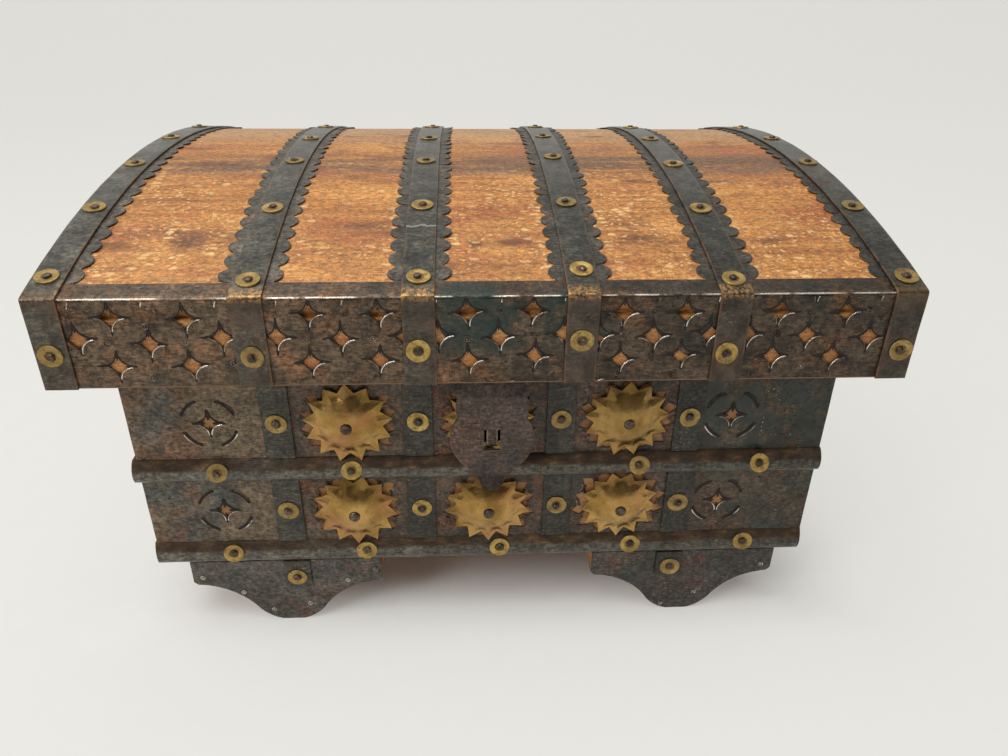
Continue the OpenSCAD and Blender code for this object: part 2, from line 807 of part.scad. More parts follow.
module lid_ledges() {
    inner_x = lid_w / 2 - rim_t;
    wall_x = body_w / 2 - wall_t;
    front_y = lid_front + rim_t;
    wall_y = body_front + wall_t;
    color(old_wood_colour) {
        box_between([-inner_x, front_y, seat_z], [inner_x, wall_y, seat_z + ledge_h]);
        for (side = [0, 1]) {
            mirror([side, 0, 0])
                box_between([wall_x, wall_y, seat_z], [inner_x, lid_back - rim_t, seat_z + ledge_h]);
        }
    }
}

// Iron of the lid

module lid_panel(i) {
    low_x = panel_edges[i - 1] + butt_gap / 2;
    high_x = panel_edges[i] - butt_gap / 2;
    middle_x = (max(low_x, -lid_w / 2 + strap_w) + min(high_x, lid_w / 2 - strap_w)) / 2;
    color(rust_colour) difference() {
        along_x(low_x, high_x) intersection() {
            lid_layer(0, sheet_t);
            rect_between([lid_front - sheet_t, rim_z + panel_lip], [lid_front + flange_d, crown_z]);
        }
        along_y(lid_front - sheet_t - overrun, lid_front + overrun) translate([middle_x, rim_z + star_row_z]) {
            for (row = [-1, 1], place = [-1, 1]) {
                translate([place * star_pitch / 2, row * star_row_pitch]) star();
            }
            star();
            intersection() {
                for (place = [-1, 1]) {
                    translate([place * star_pitch, 0]) star();
                }
                half_w = (high_x - low_x) / 2 - overrun;
                rect_between([-half_w, -star_reach], [half_w, star_reach]);
            }
        }
    }
}

module lid_strap(i) {
    x = lid_strap_xs[i - 1];
    color(strap_colour) along_x(x - strap_w / 2, x + strap_w / 2) intersection() {
        lid_layer(sheet_t + lay_gap, sheet_t + strap_t);
        union() {
            rect_between([lid_front - front_stack, rim_z + butt_gap], [lid_mid_y, crown_z + front_stack]);
            rect_between([lid_mid_y, rim_top - strap_back_drop], [lid_back + back_stack, crown_z + front_stack]);
        }
    }
}

// A strip with a row of half-round lobes along each free side
module lid_scallop(i) {
    x = lid_strap_xs[i - 1];
    start_y = lid_front + flange_d + butt_gap;
    lobes = floor((lid_back - start_y) / scallop_pitch);
    lobe_r = scallop_pitch / 2;
    lobe_x = scallop_half_w + scallop_lobe - lobe_r;
    sides = i == 1 ? [1] : i == last_strap + 1 ? [-1] : [-1, 1];
    left = i == 1 ? -strap_w / 2 : -scallop_half_w;
    right = i == last_strap + 1 ? strap_w / 2 : scallop_half_w;
    color(iron_colour) intersection() {
        along_x(x - strap_w - scallop_half_w, x + strap_w + scallop_half_w) lid_layer(0, sheet_t);
        translate([x, 0, rim_top - overrun]) linear_extrude(crown_z - rim_top + 2 * overrun + sheet_t) {
            rect_between([left, start_y], [right, lid_back]);
            for (side = sides, k = [0:lobes - 1]) {
                translate([side * lobe_x, start_y + (k + 0.5) * scallop_pitch]) circle(lobe_r);
            }
        }
    }
}

// Carries something to each of the lid's washers
module each_lid_washer() {
    for (x = lid_strap_xs) {
        for (k = [0:washer_count - 1]) {
            on_lid_top(x, washer_first + k * washer_pitch, sheet_t + strap_t) children();
        }
        on_front(x, lid_front - sheet_t - strap_t, rim_z + front_washer_z) children();
    }
}

module lid_washers() {
    color(brass_colour) each_lid_washer() washer();
}

module lid_nails() {
    color(iron_colour) each_lid_washer() nail();
}

// Hasp

module hasp_leaf() {
    outer = hasp_knuckle_w / 2 + knuckle_gap;
    plate_end = outer + hasp_outer_w;
    color(hasp_colour) for (side = [0, 1]) {
        translate([hasp_x, 0, 0]) mirror([side, 0, 0]) {
            difference() {
                union() {
                    box_between([outer, hasp_pin_y - hasp_pin_back / 2, rim_z - hasp_leaf_t],
                                [plate_end, hasp_pin_y, rim_z]);
                    along_x(outer, plate_end) translate([hasp_pin_y, hasp_pin_z]) circle(hasp_knuckle_r);
                }
                along_x(outer - overrun, plate_end + overrun)
                    translate([hasp_pin_y, hasp_pin_z]) circle(hasp_pin_r + pin_clear);
            }
        }
    }
}

module hasp_pin() {
    half = hasp_knuckle_w / 2 + knuckle_gap + hasp_outer_w;
    color(iron_colour) along_x(hasp_x - half, hasp_x + half)
        translate([hasp_pin_y, hasp_pin_z]) circle(hasp_pin_r);
}

// The hasp: a barrel, a leaf that slants forward to the fold, and the plate with its tongue
module hasp_outline() {
    tongue_z = rim_z - hasp_end_drop + tongue_r;
    shoulder_z = rim_z - hasp_lower_drop - hasp_lower_r * sin(shoulder_angle);
    shoulder_w = hasp_lower_r * cos(shoulder_angle);
    difference() {
        union() {
            translate([0, rim_z - hasp_upper_drop]) circle(hasp_upper_r, $fn = 96);
            translate([0, rim_z - hasp_lower_drop]) circle(hasp_lower_r, $fn = 96);
            polygon([[-shoulder_w, shoulder_z], [shoulder_w, shoulder_z], [tongue_r, tongue_z], [-tongue_r, tongue_z]]);
            translate([0, tongue_z]) circle(tongue_r);
        }
        rect_between([-ring, hasp_fold_z], [ring, hasp_fold_z + ring]);
        translate([-slot_w / 2, staple_z - slot_h / 2]) square([slot_w, slot_h]);
    }
}

module hasp_plate() {
    fold_half_w = sqrt(pow(hasp_upper_r, 2) - pow(hasp_upper_drop - hasp_fold_drop, 2));
    half_t = hasp_t / 2;
    clear_r = hasp_knuckle_r + knuckle_gap;
    outer = hasp_knuckle_w / 2;
    color(hasp_colour) translate([hasp_x, 0, 0]) difference() {
        union() {
            along_y(hasp_plate_y - half_t, hasp_plate_y + half_t) hasp_outline();
            intersection() {
                along_x(-hasp_top_half_w, hasp_top_half_w) polygon([
                    [hasp_plate_y - half_t, hasp_fold_z],
                    [hasp_plate_y + half_t, hasp_fold_z],
                    [hasp_pin_y + half_t, hasp_pin_z],
                    [hasp_pin_y - half_t, hasp_pin_z]
                ]);
                along_y(hasp_plate_y - hasp_pin_back, hasp_pin_y + hasp_pin_back) polygon([
                    [-fold_half_w, hasp_fold_z],
                    [fold_half_w, hasp_fold_z],
                    [hasp_top_half_w, hasp_pin_z],
                    [-hasp_top_half_w, hasp_pin_z]
                ]);
            }
            along_x(-outer, outer) translate([hasp_pin_y, hasp_pin_z]) circle(hasp_knuckle_r);
        }
        along_x(-hasp_top_half_w - overrun, hasp_top_half_w + overrun)
            translate([hasp_pin_y, hasp_pin_z]) circle(hasp_pin_r + pin_clear);
        for (side = [0, 1]) {
            mirror([side, 0, 0]) along_x(outer, hasp_top_half_w + overrun)
                translate([hasp_pin_y, hasp_pin_z]) circle(clear_r);
        }
    }
}

bottom_board();
body_front_board();
body_back_board();
body_side_board(-1);  // body_left_board
body_side_board(1);  // body_right_board
foot(foot_left_x, body_front);  // foot_front_left
foot(foot_right_x, body_front);  // foot_front_right
foot(foot_left_x, foot_back_y);  // foot_back_left
foot(foot_right_x, foot_back_y);  // foot_back_right
foot_plates();
foot_strap_ends();
corner_sheet(-1, upper_sheet_z, sheet_top, rosette_left_x, upper_row_z);  // corner_sheet_upper_left
corner_sheet(1, upper_sheet_z, sheet_top, rosette_right_x, upper_row_z);  // corner_sheet_upper_right
corner_sheet(-1, lower_sheet_z, lower_sheet_top, rosette_left_x, lower_row_z);  // corner_sheet_lower_left
corner_sheet(1, lower_sheet_z, lower_sheet_top, rosette_right_x, lower_row_z);  // corner_sheet_lower_right
pierced_panels(upper_sheet_z, sheet_top, upper_row_z);  // pierced_panels_upper
pierced_panels(lower_sheet_z, lower_sheet_top, lower_row_z);  // pierced_panels_lower
body_straps(upper_sheet_z, sheet_top);  // body_straps_upper
body_straps(lower_sheet_z, lower_sheet_top);  // body_straps_lower
middle_band();
bottom_band();
star_bosses();
boss_nails();
staple();
body_washers();
body_nails();
hinge_body_leaves();
hinge_pins();
lid_front_rail();
lid_back_rail();
lid_end(-1);  // lid_left_end
lid_end(1);  // lid_right_end
lid_plank(0, front_plank_w);  // lid_plank_front
lid_plank(front_plank_w, front_plank_w + middle_plank_w);  // lid_plank_middle
lid_plank(front_plank_w + middle_plank_w, arch_length);  // lid_plank_back
lid_ledges();
lid_panel(1);  // lid_panel_1
lid_panel(2);  // lid_panel_2
lid_panel(3);  // lid_panel_3
lid_panel(4);  // lid_panel_4
lid_panel(5);  // lid_panel_5
lid_strap(1);  // lid_strap_1
lid_strap(2);  // lid_strap_2
lid_strap(3);  // lid_strap_3
lid_strap(4);  // lid_strap_4
lid_strap(5);  // lid_strap_5
lid_strap(6);  // lid_strap_6
lid_scallop(1);  // lid_scallop_1
lid_scallop(2);  // lid_scallop_2
lid_scallop(3);  // lid_scallop_3
lid_scallop(4);  // lid_scallop_4
lid_scallop(5);  // lid_scallop_5
lid_scallop(6);  // lid_scallop_6
lid_washers();
lid_nails();
hinge_lid_leaves();
hasp_leaf();
hasp_pin();
hasp_plate();
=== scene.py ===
import random
from functools import reduce
from math import asin, atan2, cos, hypot, pi, radians, sin, sqrt

import bmesh
import bpy
from mathutils import Matrix, Vector


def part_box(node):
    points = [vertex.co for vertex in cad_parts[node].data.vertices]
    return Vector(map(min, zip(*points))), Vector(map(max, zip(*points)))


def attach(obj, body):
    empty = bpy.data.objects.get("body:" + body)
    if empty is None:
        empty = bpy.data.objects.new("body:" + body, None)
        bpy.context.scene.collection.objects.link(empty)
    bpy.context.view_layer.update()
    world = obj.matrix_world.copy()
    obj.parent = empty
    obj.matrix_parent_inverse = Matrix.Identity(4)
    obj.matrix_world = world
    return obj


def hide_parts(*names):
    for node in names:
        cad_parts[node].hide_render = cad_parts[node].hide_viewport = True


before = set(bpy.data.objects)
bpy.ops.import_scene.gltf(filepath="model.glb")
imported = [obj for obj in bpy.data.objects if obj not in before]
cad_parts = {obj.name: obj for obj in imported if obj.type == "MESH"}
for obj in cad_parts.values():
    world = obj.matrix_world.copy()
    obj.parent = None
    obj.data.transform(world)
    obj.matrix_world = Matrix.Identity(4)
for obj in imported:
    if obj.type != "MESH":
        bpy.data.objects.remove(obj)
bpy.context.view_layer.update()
bpy.ops.object.select_all(action="DESELECT")
MM = 0.001

# The view: the photograph's own standpoint, above and in front of the chest, a little to its left.
camera_data = bpy.data.cameras.new("camera")
camera_data.lens = 29.107
camera_data.sensor_width = 36
camera_data.clip_start = 0.01
camera = bpy.data.objects.new("camera", camera_data)
bpy.context.scene.collection.objects.link(camera)
eye = Vector((-12.78, -556.8, 399.11)) * MM
yaw, pitch, roll = radians(3.374), radians(29.287), radians(0.85)
ahead = Vector((sin(yaw) * cos(pitch), cos(yaw) * cos(pitch), -sin(pitch)))
level = Vector((cos(yaw), -sin(yaw), 0))
above = level.cross(ahead)
side = cos(roll) * level + sin(roll) * above
top = cos(roll) * above - sin(roll) * level
camera.matrix_world = Matrix.Translation(eye) @ Matrix((side, top, -ahead)).transposed().to_4x4()
bpy.context.scene.camera = camera
bpy.context.scene.view_settings.view_transform = "Standard"


# The floor and backdrop: one pale paper sweep, with a faint grain, that the chest stands on. Away from the
# chest it shows one even tone to the eye and to bright metal.
def add_node(tree, kind, inputs=(), **settings):
    """Adds a shader node; each input is given a value or the socket that feeds it."""
    node = tree.nodes.new("ShaderNode" + kind)
    for name, value in settings.items():
        setattr(node, name, value)
    for socket, source in dict(inputs).items():
        if isinstance(source, bpy.types.NodeSocket):
            tree.links.new(source, node.inputs[socket])
        else:
            node.inputs[socket].default_value = source
    return node


def tree_of(*sources):
    """The shader tree of the first socket among some sources."""
    return next(source.id_data for source in sources if isinstance(source, bpy.types.NodeSocket))


def fed(sockets, **sources):
    """Links each source to the socket of its name."""
    for name, source in sources.items():
        source.id_data.links.new(source, sockets[name.replace("_", " ")])


def colour(red, green, blue):
    """A colour as a screen shows it, 0 to 255, in Blender's linear light."""
    shown = [part / 255 for part in (red, green, blue)]
    return [part / 12.92 if part < 0.04 else ((part + 0.055) / 1.055) ** 2.4 for part in shown] + [1]


def new_finish(name, **plain):
    """A material, the inputs of its Principled shader, some given plain values, and the piece's own place."""
    material = bpy.data.materials.new(name)
    material.use_nodes = True
    skin = material.node_tree.nodes["Principled BSDF"].inputs
    for socket, value in plain.items():
        skin[socket].default_value = value
    return material, skin, add_node(material.node_tree, "TexCoord").outputs["Object"]


def maths(how, *values):
    """Some values taken together, two at a time."""
    def taken_together(a, b):
        return add_node(tree_of(a, b), "Math", {0: a, 1: b}, operation=how).outputs[0]
    return reduce(taken_together, values)


def times(*values):
    return maths("MULTIPLY", *values)


def plus(*values):
    return maths("ADD", *values)


def minus(first, second):
    return maths("SUBTRACT", first, second)


def larger(*values):
    return maths("MAXIMUM", *values)


def distance_from(value, middle=0):
    """How far a value is from a middle, either way."""
    return maths("ABSOLUTE", minus(value, middle) if middle else value, 0)


def vectors(how, first, second):
    return add_node(first.id_data, "VectorMath", {0: first, 1: second}, operation=how).outputs[0]


def split(place):
    return add_node(place.id_data, "SeparateXYZ", {0: place}).outputs


def noise(place, scale, detail=4, roughness=0.55):
    inputs = {"Vector": place, "Scale": scale, "Detail": detail, "Roughness": roughness}
    return add_node(place.id_data, "TexNoise", inputs).outputs[0]


def stretched(place, scale, turn=(0, 0, 0), shift=(0, 0, 0)):
    """The place, moved, turned and then scaled along each axis."""
    tree = place.id_data
    moved = add_node(tree, "Mapping", {"Vector": place, "Location": shift, "Rotation": turn}).outputs[0]
    return add_node(tree, "Mapping", {"Vector": moved, "Scale": scale}).outputs[0]


def graded(value, low, high, to_low=0.0, to_high=1.0):
    """The value spread smoothly from low and high to two new ends."""
    inputs = {"Value": value, "From Min": low, "From Max": high, "To Min": to_low, "To Max": to_high}
    return add_node(value.id_data, "MapRange", inputs, interpolation_type="SMOOTHSTEP").outputs[0]


def mixed(mask, first, second):
    """The first colour, and where the mask is, the second, which may be given as its red, green and blue."""
    second = colour(*second) if isinstance(second, tuple) else second
    return add_node(mask.id_data, "Mix", {0: mask, 6: first, 7: second}, data_type="RGBA").outputs[2]


def mixed_value(mask, first, second):
    return add_node(mask.id_data, "Mix", {0: mask, 2: first, 3: second}, data_type="FLOAT").outputs[0]


def shades(value, *stops):
    """A ramp through colours, each with its place from 0 to 1."""
    ramp = add_node(value.id_data, "ValToRGB", {0: value})
    while len(ramp.color_ramp.elements) < len(stops):
        ramp.color_ramp.elements.new(0.5)
    for element, (at, tone) in zip(ramp.color_ramp.elements, stops):
        element.position = at
        element.color = colour(*tone)
    return ramp.outputs[0]


def scaled(tone, factor):
    """A colour made lighter or darker by a factor."""
    return add_node(tone.id_data, "VectorMath", {0: tone, "Scale": factor}, operation="SCALE").outputs[0]


def raised(height, distance, strength=1.0, **under):
    """The normal of a relief, over another normal where one is given."""
    inputs = {"Height": height, "Distance": distance, "Strength": strength, **under}
    return add_node(height.id_data, "Bump", inputs).outputs[0]


def in_sight(tree):
    """One where the camera looks, straight or by way of metal or glass."""
    rays = add_node(tree, "LightPath").outputs
    return larger(rays["Is Camera Ray"], rays["Is Glossy Ray"], rays["Is Transmission Ray"])


def dressed(piece, *finishes):
    """Gives a piece its materials, in the order of its slots."""
    piece.data.materials.clear()
    for finish in finishes:
        piece.data.materials.append(finish)
    return piece


def alone(piece):
    """Selects one piece and nothing else."""
    bpy.ops.object.select_all(action="DESELECT")
    piece.select_set(True)
    bpy.context.view_layer.objects.active = piece
    return piece


def primitive(kind, **sizes):
    getattr(bpy.ops.mesh, f"primitive_{kind}_add")(**sizes)
    return bpy.context.object


def settled(piece):
    """Leaves a piece's place, turn and size in its mesh."""
    alone(piece)
    bpy.ops.object.transform_apply(location=True, rotation=True, scale=True)
    return piece


def edit(piece):
    alone(piece)
    bpy.ops.object.mode_set(mode="EDIT")
    bpy.ops.mesh.select_all(action="DESELECT")


def choose(test):
    """Selects the points of the piece in edit mode that pass a test of their place."""
    bpy.ops.mesh.select_mode(type="VERT")
    mesh = bmesh.from_edit_mesh(bpy.context.edit_object.data)
    for vertex in mesh.verts:
        vertex.select = bool(test(vertex.co))
    mesh.select_flush_mode()
    bmesh.update_edit_mesh(bpy.context.edit_object.data)


def choose_all():
    bpy.ops.mesh.select_all(action="SELECT")


def extruded(*way):
    bpy.ops.mesh.extrude_region_move(TRANSFORM_OT_translate={"value": way})


def shifted(*way):
    bpy.ops.transform.translate(value=way)


def spun(angle, centre, steps):
    """Spins the selection about a line along x. A positive angle goes from the front over the top."""
    bpy.ops.mesh.spin(steps=steps, angle=angle, center=centre, axis=(1, 0, 0))


def done():
    bpy.ops.object.mode_set(mode="OBJECT")


paper, skin, place = new_finish("paper_sweep", Roughness=0.85)
fibres = noise(place, 60, 6)
tone = shades(fibres, (0.3, (238, 238, 236)), (0.7, (243, 243, 241)))
fed(skin, Base_Color=tone, Normal=raised(fibres, 0.0004, 0.3))
x, y, z = split(place)
beside = graded(distance_from(x), 0.14, 0.28)
before = graded(distance_from(y), 0.12, 0.2)
clear_of_chest = larger(beside, before, graded(z, 0.01, 0.1))
tree = paper.node_tree
even = times(clear_of_chest, in_sight(tree), 0.8)
pale = add_node(tree, "Emission", {"Color": colour(230, 229, 223), "Strength": 1.0}).outputs[0]
evened = add_node(tree, "MixShader", {0: even, 1: tree.nodes["Principled BSDF"].outputs[0], 2: pale})
fed(tree.nodes["Material Output"].inputs, Surface=evened.outputs[0])

sweep = primitive("plane", size=1, location=(0, 0, -0.0002))
sweep.name = "paper_sweep"
sweep.scale = (6, 3.4, 1)
settled(sweep)
edit(sweep)
choose(lambda place: place.y > 1)
spun(-radians(80), (0, 1.7, 0.5), 12)
extruded(0, 0.3, 1.6)
done()
bpy.ops.object.shade_smooth()
dressed(sweep, paper)

# The light: a pale room, brighter overhead, one wide lamp above and a weaker one to the left in front.
world = bpy.data.worlds.new("room")
bpy.context.scene.world = world
world.use_nodes = True
backdrop = world.node_tree.nodes["Background"].inputs
backdrop["Color"].default_value = colour(240, 240, 238)
x, y, z = split(add_node(world.node_tree, "TexCoord").outputs["Generated"])
room = times(graded(z, -0.1, 0.8, 0.3, 1.05), graded(y, -0.9, 0.3, 0.4, 1), graded(x, -0.9, 0.9, 1.1, 0.6))
low_wall = times(in_sight(world.node_tree), graded(z, 0.06, 0.2, 0.88, 0))
fed(backdrop, Strength=larger(room, low_wall))
CHEST_MIDDLE = Vector((0, 0, 0.15))
for name, watts, size, spot in (
    ("lamp_overhead", 11, 1.0, Vector((-0.3, -0.2, 1.4))), ("lamp_front", 14, 0.7, Vector((-1.5, -1.5, 1.5))),
):
    lamp_data = bpy.data.lights.new(name, "AREA")
    lamp_data.energy = watts
    lamp_data.size = size
    lamp = bpy.data.objects.new(name, lamp_data)
    bpy.context.scene.collection.objects.link(lamp)
    lamp.location = spot
    lamp.rotation_euler = (CHEST_MIDDLE - spot).to_track_quat("-Z", "Y").to_euler()


# The body's boards: plain old softwood, sawn and nailed, darkened outside by years of handling.
def new_group(name, takes, gives):
    """An empty shader group with named sockets, some with a value of their own."""
    group = bpy.data.node_groups.new(name, "ShaderNodeTree")
    for label, kind, *value in takes:
        socket = group.interface.new_socket(label, in_out="INPUT", socket_type="NodeSocket" + kind)
        if value:
            socket.default_value = value[0]
    for label, kind in gives:
        group.interface.new_socket(label, in_out="OUTPUT", socket_type="NodeSocket" + kind)
    return group, group.nodes.new("NodeGroupInput").outputs, group.nodes.new("NodeGroupOutput").inputs


def placed_group(group, **sources):
    """Places a group where its sources are, and gives what it puts out."""
    inputs = {name.replace("_", " "): source for name, source in sources.items()}
    return add_node(tree_of(*sources.values()), "Group", inputs, node_tree=group).outputs


wood_grain, taken, given = new_group(
    "wood_grain", (("Place", "Vector"), ("Fineness", "Float", 1.0)),
    (("Streaks", "Float"), ("Lines", "Float"), ("Height", "Float")))
sway = times(noise(stretched(taken["Place"], (9, 26, 26)), 1, 3), 0.012)
drift = add_node(wood_grain, "CombineXYZ", {1: sway, 2: sway}).outputs[0]
run = vectors("ADD", taken["Place"], drift)
streaks = noise(stretched(run, (10, 170, 170)), taken["Fineness"], 5, 0.6)
lines = noise(stretched(run, (45, 1300, 1300)), taken["Fineness"], 4, 0.6)
fed(given, Streaks=streaks, Lines=lines, Height=plus(times(streaks, 0.4), lines))

soft_spot, taken, given = new_group(
    "soft_spot",
    (("Place", "Vector"), ("Centre", "Vector", (0, 0, 0)), ("Size", "Vector", (1, 1, 1)),
     ("Raggedness", "Float", 0.5)),
    (("Mask", "Float"),))
reach = vectors("DIVIDE", vectors("SUBTRACT", taken["Place"], taken["Centre"]), taken["Size"])
distance = add_node(soft_spot, "VectorMath", {0: reach}, operation="LENGTH").outputs["Value"]
ragged = times(noise(taken["Place"], 190, 6, 0.7), taken["Raggedness"])
fed(given, Mask=graded(plus(distance, ragged), 0.45, 1.3, 1, 0))


def spotted(place, tone, base, spots, raggedness=1.0):
    """Lays soft spots of a tone, each at a place and of a size in millimetres, over a colour."""
    for centre, size, strength in spots:
        centre, size = Vector(centre) * MM, Vector(size) * MM
        mask = placed_group(soft_spot, Place=place, Centre=centre, Size=size, Raggedness=raggedness)["Mask"]
        base = mixed(times(mask, strength), base, tone)
    return base


old_wood, skin, place = new_finish("old_wood")
grain = placed_group(wood_grain, Place=place, Fineness=0.8)
tone = shades(grain["Streaks"], (0.25, (118, 80, 46)), (0.5, (166, 116, 68)), (0.75, (196, 148, 92)))
tone = mixed(graded(grain["Lines"], 0.5, 0.75, 0, 0.45), tone, (72, 42, 28))
tone = mixed(graded(noise(place, 22, 5), 0.45, 0.7, 0, 0.5), tone, (98, 66, 48))
rough = graded(grain["Streaks"], 0.2, 0.8, 0.5, 0.75)
fed(skin, Base_Color=tone, Roughness=rough, Normal=raised(grain["Height"], 0.0005, 0.6))
for node in (
    "bottom_board", "body_front_board", "body_back_board", "body_left_board", "body_right_board",
    "foot_front_left", "foot_front_right", "foot_back_left", "foot_back_right", "lid_ledges",
):
    dressed(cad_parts[node], old_wood)

# The lid's wood: three long planks bent over two arched ends and two rails, oiled to a bright orange, flecked
# with cream where the surface has lifted. Brown stains lie round the knots, and a grey band near the middle.
LID_FRONT = -185.95 * MM
LID_MIDDLE = -1.95 * MM
ARCH_R = 705.97 * MM
ARCH_Z = -444.57 * MM
RIM_Z = 188 * MM
# Each stain and burn: its middle, its reach along x, y and z, and its strength
STAINS = (
    ((-157, -137, 248), (15, 12, 30), 0.85), ((-194, -139, 248), (20, 7, 30), 0.55),
    ((-65, -120, 250), (32, 7, 30), 0.7), ((-4, -140, 248), (9, 7, 30), 0.85),
    ((16, -139, 248), (17, 8, 30), 0.8), ((86, -135, 248), (26, 9, 30), 0.75),
    ((157, -139, 248), (17, 8, 30), 0.7), ((97, -60, 258), (18, 6, 30), 0.75),
    ((-170, -24, 260), (34, 10, 30), 0.6), ((20, 30, 260), (24, 6, 30), 0.6),
    ((88, 62, 259), (17, 8, 30), 0.7), ((-76, -52, 258), (16, 8, 30), 0.5),
    ((150, -60, 258), (30, 9, 30), 0.5), ((-90, 60, 258), (22, 8, 30), 0.5),
    ((170, 20, 258), (26, 9, 30), 0.45),
)
BURNS = (
    ((-157, -137, 248), (14, 15, 30), 0.8), ((-199, -141, 248), (17, 7, 30), 0.5),
    ((-52, -128, 250), (30, 8, 30), 0.5), ((14, -139, 248), (18, 9, 30), 0.6),
)

lid_wood, skin, place = new_finish("lid_wood")
x, y, z = split(place)
grain = placed_group(wood_grain, Place=place, Fineness=1.0)
tone = shades(
    grain["Streaks"], (0.25, (130, 80, 38)), (0.45, (172, 112, 54)), (0.62, (192, 132, 68)),
    (0.85, (208, 158, 96)))
tone = mixed(graded(grain["Lines"], 0.48, 0.75, 0, 0.45), tone, (122, 70, 36))
redder = graded(noise(stretched(place, (14, 34, 34)), 1, 4), 0.5, 0.7, 0, 0.6)
tone = mixed(redder, tone, (158, 84, 46))
golden = graded(noise(stretched(place, (18, 26, 26), shift=(0.4, 0, 0)), 1, 4), 0.48, 0.68, 0, 0.6)
tone = mixed(golden, tone, (214, 152, 80))
tone = mixed(graded(y, 0.0, 0.08, 0, 0.6), tone, (178, 146, 108))
grey_band = times(graded(y, -0.056, -0.036), graded(y, -0.016, 0.004, 1, 0))
ragged = noise(stretched(place, (16, 90, 1)), 1, 6, 0.65)
tone = mixed(times(grey_band, graded(ragged, 0.32, 0.58, 0, 0.85)), tone, (98, 74, 58))
tone = spotted(place, (84, 48, 28), tone, STAINS, 0.85)
cloud = noise(stretched(place, (20, 48, 48), shift=(0.7, 0.2, 0)), 1, 5, 0.62)
tone = mixed(graded(cloud, 0.54, 0.7, 0, 0.6), tone, (112, 68, 36))
mottle = noise(stretched(place, (330, 520, 520)), 1, 4, 0.7)
tone = scaled(tone, graded(mottle, 0.3, 0.7, 0.52, 1.4))
tone = scaled(tone, graded(noise(place, 1500, 2), 0.3, 0.7, 0.72, 1.26))
near_front = times(graded(noise(place, 26, 4), 0.4, 0.6, 0.15, 1), graded(y, -0.085, -0.02, 1.0, 0.2))
tree = lid_wood.node_tree
swirl = add_node(tree, "TexNoise", {"Vector": place, "Scale": 240.0, "Detail": 3.0}).outputs["Color"]
bent = vectors("ADD", place, scaled(swirl, 0.004))
flecks = 0.0
for spread, seed, least, widest in (((110, 210, 210), 0.0, 0.34, 0.46), ((260, 380, 380), 0.37, 0.34, 0.45)):
    cell_place = stretched(bent, spread, shift=(seed, seed, 0))
    cells = add_node(tree, "TexVoronoi", {"Vector": cell_place, "Scale": 1.0}).outputs
    by_cell = add_node(tree, "SeparateColor", {0: cells["Color"]}).outputs[0]
    shape = plus(cells["Distance"], times(noise(place, 900, 3), 0.36))
    fleck = times(graded(shape, widest - 0.12, widest + 0.1, 1, 0), graded(by_cell, least, least + 0.1))
    flecks = larger(fleck, flecks)
flecks = times(flecks, near_front)
tone = mixed(times(flecks, 0.8), tone, (236, 196, 132))
tone = spotted(place, (110, 60, 28), tone, BURNS, 0.7)
relief = plus(grain["Height"], times(flecks, 0.5))
rough = graded(grain["Streaks"], 0.2, 0.8, 0.42, 0.66)
fed(skin, Base_Color=tone, Roughness=rough, Normal=raised(relief, 0.0004, 0.7))
for node in ("lid_plank_front", "lid_plank_middle", "lid_plank_back"):
    dressed(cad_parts[node], lid_wood)

rail_wood, skin, place = new_finish("rail_wood")
grain = placed_group(wood_grain, Place=place, Fineness=1.2)
tone = shades(grain["Streaks"], (0.25, (138, 84, 42)), (0.5, (186, 124, 66)), (0.8, (214, 164, 100)))
tone = mixed(graded(grain["Lines"], 0.5, 0.75, 0, 0.5), tone, (126, 70, 40))
tone = scaled(tone, graded(noise(place, 700, 3, 0.7), 0.3, 0.7, 0.7, 1.25))
tone = mixed(graded(split(place)[2], 0.1889, 0.1897, 0.85, 0), tone, (128, 100, 72))
rough = graded(grain["Streaks"], 0.2, 0.8, 0.5, 0.7)
fed(skin, Base_Color=tone, Roughness=rough, Normal=raised(grain["Height"], 0.0005, 0.6))
for node in ("lid_front_rail", "lid_back_rail"):
    dressed(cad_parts[node], rail_wood)

end_wood, skin, place = new_finish("end_wood")
grain = placed_group(wood_grain, Place=stretched(place, (1, 1, 1), turn=(0, 0, radians(90))), Fineness=0.9)
tone = shades(grain["Streaks"], (0.25, (112, 66, 38)), (0.5, (160, 100, 58)), (0.8, (196, 142, 92)))
tone = mixed(graded(noise(place, 30, 5), 0.45, 0.7, 0, 0.55), tone, (100, 64, 44))
rough = graded(grain["Lines"], 0.2, 0.8, 0.5, 0.75)
fed(skin, Base_Color=tone, Roughness=rough, Normal=raised(grain["Height"], 0.0005, 0.6))
for node in ("lid_left_end", "lid_right_end"):
    dressed(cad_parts[node], end_wood)


# The lid's front panels: five sheets of iron, pierced with rows of four-pointed stars, each cut by four
# curved strokes of a chisel that lift the edges of the petals between them. Each sheet is folded over the
# front edge of the top and held by small tacks. The rail's orange wood shows in the stars.
def set_down(piece, spot=(0, 0, 0), tilt=0.0, turn=0.0, size=(1, 1, 1)):
    """Sizes a piece, turns it, tilts it towards the back and moves it to its spot, all in its mesh."""
    turned = Matrix.Rotation(tilt, 4, "X") @ Matrix.Rotation(turn, 4, "Z") @ Matrix.Diagonal((*size, 1))
    piece.matrix_world = Matrix.Translation(Vector(spot)) @ turned
    return settled(piece)


def copied(piece, name="copy"):
    twin = bpy.data.objects.new(name, piece.data.copy())
    bpy.context.scene.collection.objects.link(twin)
    return twin


def on_front(piece, spot, turn=0.0, size=(1, 1, 1)):
    """A copy of a piece, set down upright against the front."""
    return set_down(copied(piece), spot, pi / 2, turn, size)


def modified(piece, kind, **settings):
    """Adds a modifier and applies it."""
    alone(piece)
    modifier = piece.modifiers.new(kind.lower(), kind)
    for name, value in settings.items():
        setattr(modifier, name, value)
    bpy.ops.object.modifier_apply(modifier=modifier.name)
    return piece


def removed(*pieces):
    for piece in pieces:
        bpy.data.objects.remove(piece)


